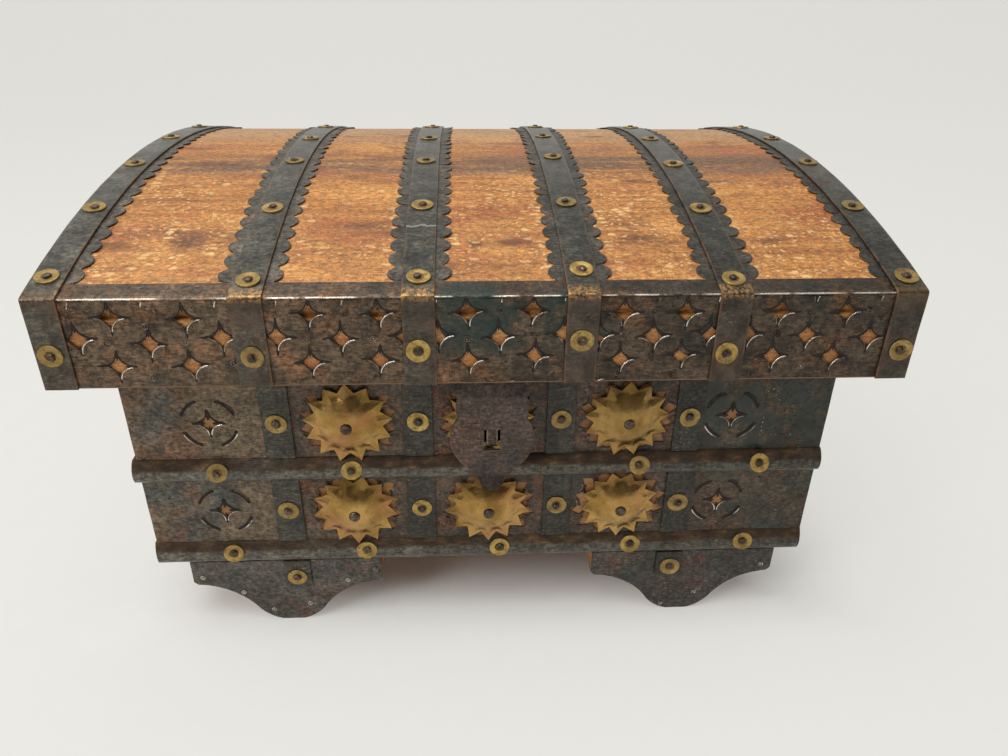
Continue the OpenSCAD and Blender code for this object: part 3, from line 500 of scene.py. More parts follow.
def cut_away(piece, cutter, **settings):
    """Cuts one piece out of another and takes it away."""
    modified(piece, "BOOLEAN", operation="DIFFERENCE", object=cutter, solver="EXACT", **settings)
    removed(cutter)


def rounded(piece, width, segments=1, sharper_than=50):
    """Rounds the edges that are sharper than some degrees, to a width in millimetres."""
    limits = {"limit_method": "ANGLE", "angle_limit": radians(sharper_than)}
    return modified(piece, "BEVEL", width=width * MM, segments=segments, **limits)


def joined(name, pieces, *finishes):
    """Makes several pieces one, in one finish where it is given."""
    alone(pieces[0])
    for piece in pieces:
        piece.select_set(True)
    if len(pieces) > 1:
        bpy.ops.object.join()
    pieces[0].name = name
    pieces[0].data.name = name
    if finishes:
        dressed(pieces[0], *finishes)
    return pieces[0]


def smoothed(piece, angle=40):
    alone(piece)
    bpy.ops.object.shade_smooth_by_angle(angle=radians(angle))
    return piece


def stands_for(piece, body, slot, *nodes):
    """Makes a piece ride on a body in place of the CAD nodes that it details."""
    if nodes:
        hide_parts(*nodes)
    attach(piece, body)


dents = bpy.data.textures.new("dents", "CLOUDS")
dents.noise_scale = 0.018
dents.noise_depth = 2


def dented(piece, depth):
    """Moves a thin piece's surface in and out a little, as hand work leaves it."""
    places = {"texture_coords": "GLOBAL", "direction": "NORMAL", "mid_level": 0.5}
    return modified(piece, "DISPLACE", texture=dents, strength=depth, **places)


def solid(piece, thickness):
    """Gives an open sheet, whose faces point outwards, its thickness inwards."""
    return modified(piece, "SOLIDIFY", thickness=thickness, offset=-1)


def over_lid(name, x0, x1, z0, lift, bend, columns, rows, arch_angle, arch_steps, drop=0.0):
    """A sheet up the lid's front, round its bend, along the arch and, where it has a drop, down the back."""
    face_y = LID_FRONT - lift
    bend_y = face_y + bend
    inner_r = ARCH_R + lift - bend
    bend_z = ARCH_Z + sqrt(inner_r**2 - (bend_y - LID_MIDDLE) ** 2)
    start = asin((LID_MIDDLE - bend_y) / inner_r)
    sheet = primitive("grid", x_subdivisions=columns, y_subdivisions=rows, size=1)
    sheet.name = name
    set_down(sheet, ((x0 + x1) / 2, face_y, (z0 + bend_z) / 2), pi / 2, 0, (x1 - x0, bend_z - z0, 1))
    edit(sheet)
    choose(lambda place: place.z > bend_z - 0.01 * MM)
    spun(pi / 2 - start, (0, bend_y, bend_z), 5)
    spun(2 * start if drop else arch_angle, (0, LID_MIDDLE, ARCH_Z), arch_steps)
    if drop:
        spun(pi / 2 - start, (0, 2 * LID_MIDDLE - bend_y, bend_z), 5)
        extruded(0, 0, -drop)
    done()
    return sheet


chance = random.Random(11)
STAR_REACH = 6.3 * MM
PETAL_R = 6.9 * MM
STAR_SLIT = 0.9 * MM
PETAL_AT = PETAL_R + STAR_SLIT / 2

# One star's cutter: a disc less the four petals
star_cutter = primitive("cylinder", vertices=32, radius=STAR_REACH, depth=6 * MM)
for quarter in range(4):
    turn = radians(45 + 90 * quarter)
    spot = Vector((cos(turn), sin(turn), 0)) * PETAL_AT * sqrt(2)
    cut_away(star_cutter, primitive("cylinder", vertices=40, radius=PETAL_R, depth=8 * MM, location=spot))

# One petal: a low round swelling that rises towards its star
petal = set_down(primitive("uv_sphere", segments=26, ring_count=14, radius=PETAL_R), size=(1, 1, 0.075))
smoothed(petal, 60)


def bead(radius, tube, sweep, steps=10):
    """A thin round lip along part of a circle about the origin, its middle towards +x."""
    lip = settled(primitive("circle", vertices=6, radius=tube, rotation=(pi / 2, 0, 0)))
    edit(lip)
    choose_all()
    shifted(radius, 0, 0.1 * MM)
    bpy.ops.mesh.spin(steps=steps, angle=radians(sweep), center=(0, 0, 0), axis=(0, 0, 1))
    choose_all()
    bpy.ops.mesh.fill_holes(sides=6)
    choose_all()
    bpy.ops.mesh.normals_make_consistent(inside=False)
    done()
    middle = sum((v.co for v in lip.data.vertices), Vector())
    return set_down(lip, turn=-atan2(middle.y, middle.x))


petal_lip = smoothed(bead(PETAL_R - 0.1 * MM, 0.4 * MM, 92, 12), 80)

# The ends of a star's slits, where the chisel started and stopped: dark pieces, painted shadow down in the
# slits
slit_end = primitive("uv_sphere", segments=10, ring_count=5, radius=1 * MM)
set_down(slit_end, (6.9 * MM, 0, 0), size=(3.4, 0.72, 0.26))

# One tack: a small round head in a shallow ring
tack_ring = primitive(
    "torus", major_radius=1.5 * MM, minor_radius=0.3 * MM, major_segments=12, minor_segments=5)
tack_head = set_down(primitive("uv_sphere", segments=8, ring_count=4, radius=0.7 * MM), size=(1, 1, 0.5))
tack = smoothed(joined("tack", [tack_ring, tack_head]), 80)

# The panels: their ends, their stars and their tacks, as (x, height above the rim) in millimetres. The rows
# run on past the fold and the lower edge.
PANELS = (
    (-224, -118,
     ((-184.4, 40), (-148.8, 38.8), (-202, 28), (-167.6, 25.3), (-132, 28.5), (-185.3, 13), (-149, 13),
      (-203, 52.5), (-168, 53), (-133, 52.5), (-202, 0), (-167, -0.5), (-131, 0)),
     ((-188, 26), (-150, 26), (-168, 35), (-170, 6), (-196, 5), (-162, 43), (-128, 14))),
    (-118, -34,
     ((-88.2, 41.2), (-54, 41), (-105, 28.5), (-73.2, 27), (-41.5, 28.5), (-89.4, 13.8), (-54.4, 15),
      (-104, 53.5), (-71.5, 53.5), (-41, 53.5), (-104, 1), (-71, 1), (-42, 1)),
     ((-90, 27), (-57, 27), (-72, 6), (-58, 5), (-94, 5), (-70, 41))),
    (-34, 48.5,
     ((-9.8, 41.3), (22.9, 41.9), (-24.5, 28.5), (6.3, 27.1), (39.5, 29), (-9.4, 14), (24.6, 16.5),
      (-25, 54), (6.5, 54), (39, 54), (-25, 1), (7, 2), (39, 2)),
     ((-10, 26.2), (22.5, 29), (10.6, 14), (7, 42), (34, 5), (-18, 6))),
    (48.5, 125.5,
     ((69.1, 40.3), (101, 40), (57.5, 28), (85.3, 26.8), (113.5, 28.5), (69.1, 13.5), (101, 15.9),
      (54, 53.5), (85.5, 53.5), (116, 53.5), (54, 2), (85, 1), (116, 2)),
     ((69, 27), (85, 41), (86, 13), (68, 4), (97, 4))),
    (125.5, 224,
     ((149.4, 40), (183.8, 39.4), (134.5, 27.5), (165.6, 26.2), (198.5, 24.7), (149.1, 14.4), (180.9, 13.8),
      (133, 53), (166.5, 53), (200, 53), (133, 1), (165, 0.5), (199, 0)),
     ((150, 27), (182, 27), (166, 38), (166, 8), (196, 40), (203, 36), (140, 4))),
)

patchy_iron, taken, given = new_group(
    "patchy_iron",
    (("Place", "Vector"), ("Patch Size", "Float", 40.0), ("Base", "Color"), ("Patch", "Color"),
     ("Rust", "Color"), ("Patches", "Float", 0.5), ("Rustiness", "Float", 0.4)),
    (("Color", "Color"), ("Rust Mask", "Float"), ("Height", "Float")))
place = taken["Place"]
wide = noise(place, taken["Patch Size"], 5, 0.6)
moved = stretched(place, (1, 1, 1), shift=(0.31, 0.17, 0.53))
second = noise(moved, taken["Patch Size"], 8, 0.7)
fine = noise(place, 420, 5, 0.65)
edge = minus(1, taken["Patches"])
patch_mask = graded(plus(wide, times(fine, 0.12)), minus(edge, 0.02), plus(edge, 0.16))
edge = minus(1, taken["Rustiness"])
rust_mask = graded(plus(second, times(fine, 0.2)), edge, plus(edge, 0.14))
pits = add_node(patchy_iron, "TexVoronoi", {"Vector": place, "Scale": 400.0}).outputs["Distance"]
pit_mask = graded(plus(pits, times(second, 0.5)), 0.28, 0.42, 1, 0)
tone = mixed(patch_mask, taken["Base"], taken["Patch"])
tone = mixed(times(rust_mask, 0.85), tone, taken["Rust"])
brushed = noise(stretched(place, (230, 1100, 1100)), 1, 4, 0.6)
tone = scaled(tone, graded(fine, 0.3, 0.7, 0.48, 1.55))
tone = scaled(tone, graded(brushed, 0.3, 0.7, 0.64, 1.4))
tone = scaled(tone, graded(noise(moved, 75, 4), 0.3, 0.7, 0.72, 1.28))
# Painted shade: every iron is made darker towards the right, as if the light fell from the left.
tone = scaled(tone, graded(split(place)[0], -0.2, 0.2, 1.16, 0.63))
tone = mixed(times(pit_mask, 0.8), tone, (20, 16, 13))
scuffs = noise(stretched(moved, (420, 900, 900)), 1, 3, 0.6)
scuff_mask = times(graded(scuffs, 0.6, 0.68, 0, 0.65), graded(second, 0.46, 0.6))
tone = mixed(scuff_mask, tone, (158, 138, 112))
depth = plus(times(wide, 0.6), times(fine, 0.4), times(brushed, 0.25))
fed(given, Color=tone, Rust_Mask=rust_mask, Height=minus(depth, times(pit_mask, 0.5)))


def iron_finish(name, base, patch, rust, size, patches, rustiness, metallic, dull, bright, relief=0.0006):
    """A sheet-iron finish, and what further wear is laid over: its inputs, place, colour and roughness."""
    material, skin, place = new_finish(name, Metallic=metallic)
    out = placed_group(
        patchy_iron, Place=place, Patch_Size=size, Base=colour(*base), Patch=colour(*patch),
        Rust=colour(*rust), Patches=patches, Rustiness=rustiness)
    fed(skin, Normal=raised(out["Height"], relief, 0.7))
    return material, skin, place, out["Color"], graded(out["Rust Mask"], 0, 1, bright, dull)


def worn_through(skin, tone, rough, mask, bare, bare_rough=0.28):
    """Gives a finish its colour and roughness, with bare metal where the mask is."""
    fed(skin, Base_Color=mixed(mask, tone, bare), Roughness=mixed_value(mask, rough, bare_rough))


def fold_wear_and_highlight(place, low, back, amount=(0.32, 0.5)):
    """Where hands and knocks wear the front fold bright, with a painted highlight along it, from a height up
    and back to a depth.
    """
    x, y, z = split(place)
    line = times(graded(z, low * MM, (low + 0.3) * MM), graded(y, (back - 0.3) * MM, back * MM, 1, 0))
    return times(line, graded(noise(place, 70, 5), *amount))


pierced_iron, skin, place, tone, rough = iron_finish(
    "pierced_iron", (92, 76, 60), (56, 50, 42), (118, 84, 58), size=46, patches=0.42, rustiness=0.4,
    metallic=0.6, dull=0.5, bright=0.3, relief=0.002)
x, y, z = split(place)
teal_zone = times(graded(x, -0.036, -0.02), graded(x, 0.05, 0.075, 1, 0.22))
teal_mask = times(teal_zone, graded(noise(place, 36, 4), 0.36, 0.58), graded(z, 0.196, 0.215), 0.7)
tone = mixed(teal_mask, tone, (38, 60, 56))
tone = scaled(tone, graded(y, -0.1848, -0.184, 1, 0.72))
# The pale line along the panels' fold: worn bare metal, and a painted highlight.
worn_through(skin, tone, rough, fold_wear_and_highlight(place, 237.0, -186.0, (0.4, 0.56)), (222, 212, 196), 0.2)

bead_iron, skin, place, tone, rough = iron_finish(
    "bead_iron", (70, 60, 50), (108, 96, 82), (84, 64, 50), size=120, patches=0.5, rustiness=0.4,
    metallic=0.75, dull=0.5, bright=0.3)
worn_through(skin, tone, rough, graded(noise(place, 90, 4), 0.52, 0.68), (168, 154, 138), 0.25)

# Pale iron: on the lower lips of the stars and rosettes it is a painted highlight, where they would catch the
# light from above. The feet's tacks are made of it too.
bright_iron, skin, place, tone, rough = iron_finish(
    "bright_iron", (150, 136, 118), (190, 178, 162), (112, 90, 70), size=90, patches=0.55, rustiness=0.42,
    metallic=0.85, dull=0.4, bright=0.22)
worn_through(skin, tone, rough, graded(noise(place, 130, 3), 0.45, 0.6), (216, 208, 196), 0.2)

# Painted shadow: a near-black finish for thin pieces laid in the slits and along the upper petals' edges,
# where there is only shade.
gap_dark, skin, place = new_finish("gap_dark", Roughness=0.85)
fed(skin, Base_Color=shades(noise(place, 300, 4), (0.35, (24, 18, 15)), (0.65, (48, 36, 28))))

for number, (x0, x1, stars, tacks) in enumerate(PANELS, 1):
    left, right = (x0 + 0.1) * MM, (x1 - 0.1) * MM
    sheet = over_lid(
        f"panel_{number}", left, right, RIM_Z + 1.1 * MM, 0.8 * MM, 1.3 * MM, 22, 12, radians(0.92), 3)
    solid(sheet, 0.78 * MM)
    dented(sheet, 0.3 * MM)
    cutters, petals, lips, bright_lips, ends = [], [], [], [], []
    for star_x, star_z in stars:
        turn = radians(chance.uniform(-5, 5))
        size = chance.uniform(0.94, 1.05)
        oval = (size, size, 1)
        spot = Vector((star_x * MM, LID_FRONT - 0.85 * MM, RIM_Z + star_z * MM))
        whole = 5 < star_z < 48
        if whole:
            cutters.append(on_front(star_cutter, spot, turn, (1.12 * size, size, 1)))
            for quarter in range(4):
                length = chance.uniform(0.9, 1.1)
                end = set_down(copied(slit_end), turn=turn + quarter * pi / 2, size=(length, 1, 1))
                ends.append(set_down(end, spot, pi / 2))
        # Each star's two lower petals: the right one's lip is a painted highlight in the pale iron, the left
        # one's is plain iron.
        for across, lift, sink, thick in (
            (1, chance.uniform(4.5, 7), 0.42, 1.3), (-1, chance.uniform(2.5, 4), 0.34, 0.9),
        ):
            hinge = Vector((1, across, 0)).normalized()
            centre = Vector((across * PETAL_AT, -PETAL_AT, -sink * MM))
            lifted = Matrix.Translation(centre) @ Matrix.Rotation(radians(lift), 4, hinge)
            leaf = copied(petal)
            leaf.data.transform(lifted)
            petals.append(set_down(leaf, spot, pi / 2, turn, oval))
            lip = set_down(copied(petal_lip), turn=atan2(1, -across), size=(1, 1, thick))
            lip.data.transform(lifted)
            (bright_lips if across > 0 else lips).append(set_down(lip, spot, pi / 2, turn, oval))
            if whole:
                # Painted shadow: a dark bead along the upper petal's edge, where it shades the opening.
                painted_shadow_edge = set_down(copied(petal_lip), turn=atan2(-1, -across), size=(1, 1, 0.6))
                painted_shadow_edge.data.transform(Matrix.Translation((across * PETAL_AT, PETAL_AT, 0.02 * MM)))
                ends.append(set_down(painted_shadow_edge, spot, pi / 2, turn, oval))
    cut_away(sheet, joined("cutter", cutters))
    smoothed(rounded(sheet, 0.12), 35)
    for tack_x, tack_z in tacks:
        spot = (tack_x * MM, LID_FRONT - 0.9 * MM, RIM_Z + tack_z * MM)
        height = chance.uniform(0.8, 1.15)
        lips.append(on_front(tack, spot, chance.uniform(0, 6), (1, height, 1)))
    dressed(sheet, pierced_iron)
    trims = [
        joined("petals", petals, pierced_iron), joined("lips", lips, bead_iron),
        joined("bright_lips", bright_lips, bright_iron), joined("ends", ends, gap_dark),
    ]
    for trim in trims:
        edit(trim)
        for plane, out in (
            (((x0 + 8) * MM, 0, 0), (-1, 0, 0)), (((x1 - 8) * MM, 0, 0), (1, 0, 0)),
            ((0, 0, RIM_Z + 1.3 * MM), (0, 0, -1)), ((0, 0, RIM_Z + 48.4 * MM), (0, 0, 1)),
        ):
            choose_all()
            bpy.ops.mesh.bisect(plane_co=plane, plane_no=out, clear_outer=True)
        done()
    panel = joined(f"panel_{number}", [sheet, *trims])
    stands_for(panel, "lid", "pierced_iron", f"lid_panel_{number}")
removed(petal, petal_lip, slit_end, star_cutter)


# The scalloped strips: softer iron under each strap, its long edges cut into round lobes that curl a little.
# The two end strips show lobes on their inner side only. They start at the panels' folded edge and run to
# the back.
scallop_iron, skin, place, tone, rough = iron_finish(
    "scallop_iron", (76, 72, 64), (92, 84, 74), (108, 80, 62), size=60, patches=0.45, rustiness=0.36,
    metallic=0.5, dull=0.68, bright=0.48)
worn_through(skin, tone, rough, graded(noise(place, 60, 5), 0.7, 0.8), (150, 138, 122))

END_STRAP_X = 215.7
STRAP_XS = (-END_STRAP_X, -118.0, -34.0, 48.5, 125.5, END_STRAP_X)
STRAP_HALF = 8.3
SCALLOP_HALF = 12.6
LOBE_R = 6.6
LOBE_X = 10.0
LOBES = 27
LOBE_PITCH = 13.2
FLANGE = 12
FLANGE_ANGLE = FLANGE * MM / ARCH_R
ARCH_HALF = 0.26366


def on_arch(x, along, lift=0.0):
    """A spot on the lid's top, given in millimetres: its place, and the tilt that lays a piece flat there."""
    angle = along * MM / ARCH_R - ARCH_HALF
    radius = ARCH_R + lift * MM
    return Vector((x * MM, LID_MIDDLE + radius * sin(angle), ARCH_Z + radius * cos(angle))), -angle


lobe = rounded(primitive("cylinder", vertices=18, radius=LOBE_R * MM, depth=0.6 * MM), 0.2)
for number, strap_x in enumerate(STRAP_XS, 1):
    sides = {1: (1,), 6: (-1,)}.get(number, (-1, 1))
    low = -STRAP_HALF if number == 1 else -SCALLOP_HALF
    high = STRAP_HALF if number == 6 else SCALLOP_HALF
    strip = primitive("grid", x_subdivisions=6, y_subdivisions=1, size=1)
    middle = Vector((strap_x * MM + (low + high) / 2 * MM, LID_MIDDLE, ARCH_Z + ARCH_R + 0.7 * MM))
    set_down(strip, middle, size=((high - low) * MM, 0.2 * MM, 1))
    edit(strip)
    choose_all()
    spun(-ARCH_HALF + FLANGE_ANGLE, (0, LID_MIDDLE, ARCH_Z), 1)
    bpy.ops.mesh.select_all(action="INVERT")
    bpy.ops.mesh.delete(type="VERT")
    done()
    front_row = min(v.co.y for v in strip.data.vertices)
    edit(strip)
    choose(lambda place: place.y > front_row + 0.05 * MM)
    spun(2 * ARCH_HALF - FLANGE_ANGLE - 0.0008, (0, LID_MIDDLE, ARCH_Z), 54)
    done()
    solid(strip, 0.66 * MM)
    lobes = [strip]
    for count in range(LOBES):
        for side in sides:
            along = FLANGE + (count + 0.5) * LOBE_PITCH + chance.uniform(-0.5, 0.5)
            x = strap_x + side * (LOBE_X + chance.uniform(-0.7, 0.45))
            spot, tilt = on_arch(x, along, 0.36)
            turn = chance.uniform(0, 1)
            oval = (chance.uniform(0.92, 1.0), chance.uniform(0.9, 0.98), 1)
            disc = set_down(copied(lobe), turn=turn, size=oval)
            curl = Matrix.Rotation(radians(-side * chance.uniform(1.5, 7)), 4, "Y")
            disc.data.transform(curl @ Matrix.Rotation(radians(chance.uniform(-4, 4)), 4, "X"))
            lobes.append(set_down(disc, spot, tilt))
    strip = smoothed(joined(f"scallop_{number}", lobes, scallop_iron), 35)
    stands_for(strip, "lid", "strap_iron", f"lid_scallop_{number}")
removed(lobe)


# The lid's straps: six flat bars of dark iron, hammered round the front fold and down the back. Handling has
# worn their fold to a golden brown, and a thin line of rust runs along each edge.
strap_iron, skin, place, tone, rough = iron_finish(
    "strap_iron", (74, 72, 64), (86, 82, 72), (94, 74, 56), size=30, patches=0.4, rustiness=0.34,
    metallic=0.65, dull=0.52, bright=0.32, relief=0.0005)
x, y, z = split(place)
brown = times(graded(y, -0.1865, -0.184, 1, 0), graded(noise(place, 24, 4), 0.36, 0.6, 0.25, 0.85))
tone = mixed(brown, tone, (82, 66, 54))
tone = scaled(tone, graded(noise(place, 95, 5, 0.65), 0.36, 0.64, 0.7, 1.32))
near_edge = 0.0
for strap_x in STRAP_XS:
    away = distance_from(x, strap_x * MM)
    near_edge = plus(times(graded(away, 7.1 * MM, 7.9 * MM), graded(away, 8.6 * MM, 9 * MM, 1, 0)), near_edge)
tone = mixed(times(near_edge, graded(noise(place, 130, 5), 0.4, 0.6, 0.1, 0.8)), tone, (118, 84, 58))
inner_straps = graded(distance_from(x), 0.19, 0.2, 0.9, 0.25)
golden = times(graded(z, 0.2345, 0.238), graded(y, -0.183, -0.179, 1, 0))
golden = times(golden, graded(noise(place, 520, 5, 0.75), 0.44, 0.58), inner_straps)
tone = mixed(golden, tone, (176, 134, 80))
scratch_bend = times(noise(stretched(place, (240, 1, 1)), 1, 2), 0.006)
scratch_at = distance_from(plus(minus(y, -0.1215), scratch_bend))
scratch = times(graded(scratch_at, 0.0003, 0.0012, 1, 0), graded(x, -0.046, -0.043))
scratch = times(scratch, graded(x, -0.026, -0.024, 0.7, 0))
tone = mixed(scratch, tone, (178, 172, 160))
# The pale line along the straps' fold, strongest on the two end straps: worn bare metal, and a painted
# highlight.
fold = times(fold_wear_and_highlight(place, 238.6, -188.1), graded(inner_straps, 0.3, 0.8, 1, 0.3))
worn_through(skin, tone, rough, fold, (206, 196, 178), 0.22)

for number, strap_x in enumerate(STRAP_XS, 1):
    x0, x1 = (strap_x - STRAP_HALF) * MM, (strap_x + STRAP_HALF) * MM
    strap = over_lid(
        f"strap_{number}", x0, x1, RIM_Z + 0.3 * MM, 2.15 * MM, 2.0 * MM, 8, 12, 0, 64, drop=21 * MM)
    solid(strap, 1.28 * MM)
    rounded(strap, 0.3, 2, 40)
    dented(strap, 0.35 * MM)
    dressed(smoothed(strap, 45), strap_iron)
    stands_for(strap, "lid", "strap_iron", f"lid_strap_{number}")


# The body's sheets, straps, bands and feet facings: cut iron, its edges rounded by the file and by wear,
# beaten to fit. The four corner sheets turn round the corners and carry a pierced rosette. The two on the
# right are also punched with rows of small dots.
def worked(node, name, pitch, depth, edge=0.22, cuts="xz"):
    """A copy of a CAD node as the smith leaves it: its edges rounded, and its faces uneven."""
    piece = copied(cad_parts[node], name)
    edit(piece)
    choose_all()
    bpy.ops.mesh.customdata_custom_splitnormals_clear()
    bpy.ops.mesh.remove_doubles(threshold=0.00001)
    bpy.ops.mesh.dissolve_limited(angle_limit=radians(0.5))
    done()
    rounded(piece, edge, 2, 35)
    low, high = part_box(node)
    edit(piece)
    for axis in cuts:
        number = "xyz".index(axis)
        way = Vector([float(axis == letter) for letter in "xyz"])
        at = low[number] + pitch * MM
        while at < high[number] - 0.3 * pitch * MM:
            choose_all()
            bpy.ops.mesh.bisect(plane_co=way * at, plane_no=way)
            at += pitch * MM
    done()
    if depth:
        dented(piece, depth * MM)
    return smoothed(piece, 35)


corner_iron, skin, place, tone, rough = iron_finish(
    "corner_iron", (98, 84, 66), (76, 76, 70), (112, 82, 62), size=26, patches=0.44, rustiness=0.42,
    metallic=0.5, dull=0.6, bright=0.36, relief=0.001)
x, y, z = split(place)
LOZENGE_PITCH = 13 * MM
quilting = 0.0
for way in (1, -1):
    from_line = maths("PINGPONG", times(plus(x, times(z, way)), 1 / LOZENGE_PITCH), 0.5)
    quilting = larger(graded(from_line, 0.04, 0.12, 1, 0), quilting)
quilting = times(quilting, graded(distance_from(x), 0.16, 0.172), graded(noise(place, 240, 3), 0.4, 0.6))
plain = skin["Normal"].links[0].from_socket
fed(skin, Normal=raised(quilting, 0.0005, 0.7, Normal=plain))
tone = mixed(times(quilting, graded(x, -0.05, 0.05, 0.12, 0.4)), tone, (36, 33, 30))
# The right-hand sheets: slate grey, their own colour, with painted shade, more on the upper one under the
# lid's overhang.
slate_and_painted_shade = times(graded(x, 0.1, 0.13), graded(z, 0.12, 0.13, 0.3, 0.85))
tone = mixed(times(slate_and_painted_shade, graded(noise(place, 60, 5), 0.36, 0.56)), tone, (50, 56, 52))
worn_through(skin, tone, rough, graded(noise(place, 150, 6, 0.7), 0.66, 0.78), (150, 128, 104), 0.4)

BODY_FRONT = -161.95
BOSS_XS = (-77.5, 2.0, 81.5)
UPPER_ROW, LOWER_ROW = 151.0, 89.65
ROSETTE_R = 15.4
ROSETTES = {
    "upper_left": (-155, UPPER_ROW), "upper_right": (143, UPPER_ROW),
    "lower_left": (-155, LOWER_ROW), "lower_right": (143, LOWER_ROW),
}
dot = set_down(primitive("uv_sphere", segments=8, ring_count=4, radius=0.55 * MM), size=(1, 1, 0.6))
# A rosette slit's arm: a dark piece, painted shadow in the slit
slit_arm = primitive("uv_sphere", segments=10, ring_count=5, radius=1 * MM)
set_down(slit_arm, (5.8 * MM, 0, 0), size=(4.0, 1.0, 0.3))
for corner, (rosette_x, rosette_z) in ROSETTES.items():
    sheet = worked(f"corner_sheet_{corner}", f"corner_{corner}", 5, 0.45)
    dressed(sheet, corner_iron)
    trims, dark_lips, bright = [], [], []
    centre = Vector((rosette_x * MM, (BODY_FRONT - 0.82) * MM, rosette_z * MM))
    for quarter in range(4):
        turn = radians(45 + 90 * quarter)
        below = quarter in (2, 3)
        # Painted shadow: dark beads in the slits, along the upper petals' edges and down the arms. Painted
        # highlight: pale beads on the lower petals' edges.
        slit = bead(ROSETTE_R * MM, 1.0 * MM, chance.uniform(44, 50))
        dark_lips.append(set_down(slit, centre, pi / 2, turn, (1, 1, 0.2)))
        outer = bead((ROSETTE_R + 1.15) * MM, (0.4 if below else 0.26) * MM, 40)
        (bright if below else trims).append(set_down(outer, centre, pi / 2, turn))
        away = Vector((cos(turn), 0, sin(turn))) * PETAL_AT * sqrt(2)
        inner = bead(PETAL_R - 0.3 * MM, 0.36 * MM, 92)
        (bright if below else dark_lips).append(set_down(inner, centre + away, pi / 2, turn + pi))
        arm = set_down(copied(slit_arm), turn=quarter * pi / 2)
        dark_lips.append(set_down(arm, centre, pi / 2))
    dots = []
    if corner == "upper_right":
        dots += [(162, z) for z in range(137, 171, 3)]
        dots += [(x, 137) for x in range(165, 182, 3)]
        dots += [(165 + 2.2 * count, 168 - 3.6 * count) for count in range(8)]
        dots += [(184 - 1.6 * count, 142 + 4 * count) for count in range(7)]
    if corner == "lower_right":
        dots += [(x, 106) for x in range(164, 188, 3)]
    for dot_x, dot_z in dots:
        x = dot_x + chance.uniform(-0.3, 0.3)
        z = dot_z + chance.uniform(-0.3, 0.3)
        trims.append(on_front(dot, Vector((x, BODY_FRONT - 0.85, z)) * MM))
    trims = [joined("trim", trims, bead_iron), joined("dark_lips", dark_lips, gap_dark)]
    trims.append(joined("bright", bright, bright_iron))
    corner_sheet = joined(f"corner_{corner}", [sheet, *trims])
    stands_for(corner_sheet, "body", "corner_iron", f"corner_sheet_{corner}")
removed(dot, slit_arm)

# The pierced panels behind the bosses: the same iron as the lid's, redder, with lacy holes round each boss
panel_iron, skin, place, tone, rough = iron_finish(
    "panel_iron", (84, 70, 56), (58, 54, 48), (116, 80, 60), size=44, patches=0.44, rustiness=0.4,
    metallic=0.4, dull=0.68, bright=0.45)
worn_through(skin, tone, rough, graded(noise(place, 170, 6, 0.7), 0.66, 0.78), (150, 116, 92), 0.4)
lace_cutter = primitive("cylinder", vertices=4, radius=4.4 * MM, depth=6 * MM)
set_down(lace_cutter, (24.0 * MM, 0, 0), size=(1.05, 0.8, 1))
LACE_LIPS_R = 28.6 * MM
for row, row_z in (("upper", UPPER_ROW), ("lower", LOWER_ROW)):
    panels = worked(f"pierced_panels_{row}", f"panels_{row}", 5, 0.45)
    cutters, lips = [], []
    for boss_x in BOSS_XS:
        centre = Vector((boss_x, BODY_FRONT - 0.4, row_z)) * MM
        for turn in (-38, -13, 12, 37, 143, 168, 193, 218):
            point = set_down(copied(lace_cutter), turn=radians(turn + chance.uniform(-3, 3)))
            reach = chance.uniform(0.92, 1.04)
            cutters.append(set_down(point, centre, pi / 2, 0, (reach, reach, 1)))
        for turn in (-26, 0, 25, 155, 180, 205):
            spot = centre + Vector((cos(radians(turn)), -0.018, sin(radians(turn)))) * LACE_LIPS_R
            lips.append(set_down(bead(3.4 * MM, 0.24 * MM, 120, 6), spot, pi / 2, radians(turn + 180)))
    cut_away(panels, joined("cutter", cutters), use_self=True)
    dressed(smoothed(panels, 35), panel_iron)
    panels = joined(f"panels_{row}", [panels, joined("lips", lips, bead_iron)])
    stands_for(panels, "body", "pierced_iron", f"pierced_panels_{row}")
removed(lace_cutter)

# The body's straps: the same bar as the lid's, in two rows, and its short ends on the feet
body_strap_iron, skin, place, tone, rough = iron_finish(
    "body_strap_iron", (64, 61, 53), (78, 73, 62), (92, 70, 54), size=36, patches=0.36, rustiness=0.3,
    metallic=0.5, dull=0.6, bright=0.42, relief=0.0004)
worn_through(skin, tone, rough, graded(noise(place, 120, 6, 0.7), 0.7, 0.8), (120, 112, 100), 0.35)
for node in ("body_straps_upper", "body_straps_lower", "foot_strap_ends"):
    straps = worked(node, node.replace("body_", "front_"), 4, 0.4, edge=0.3)
    dressed(straps, body_strap_iron)
    stands_for(straps, "body", "strap_iron", node)

# The bands: half-round iron, beaten over the joints of the rows. Their upper half has flaked to brown scale,
# their lower half is smooth and slate grey, with a thin bright lower edge, a painted highlight laid on as
# bare metal.
band_iron, skin, place, tone, rough = iron_finish(
    "band_iron", (92, 88, 79), (106, 99, 88), (98, 80, 62), size=30, patches=0.36, rustiness=0.3,
    metallic=0.65, dull=0.5, bright=0.28, relief=0.0004)
x, y, z = split(place)
wavy = plus(z, times(minus(noise(place, 55, 5), 0.5), 0.006))
bottom_upper_half = times(graded(wavy, 0.0585, 0.061), graded(z, 0.07, 0.08, 1, 0))
upper_half = plus(graded(wavy, 0.1195, 0.122), bottom_upper_half)
flake = noise(stretched(place, (90, 170, 170)), 1, 6, 0.7)
scale_tone = shades(
    flake, (0.3, (46, 37, 29)), (0.48, (78, 60, 44)), (0.6, (104, 82, 58)), (0.72, (156, 128, 94)))
tone = mixed(times(upper_half, graded(noise(place, 26, 3), 0.3, 0.5, 0.4, 0.95)), tone, scale_tone)
rough = mixed_value(upper_half, rough, 0.72)
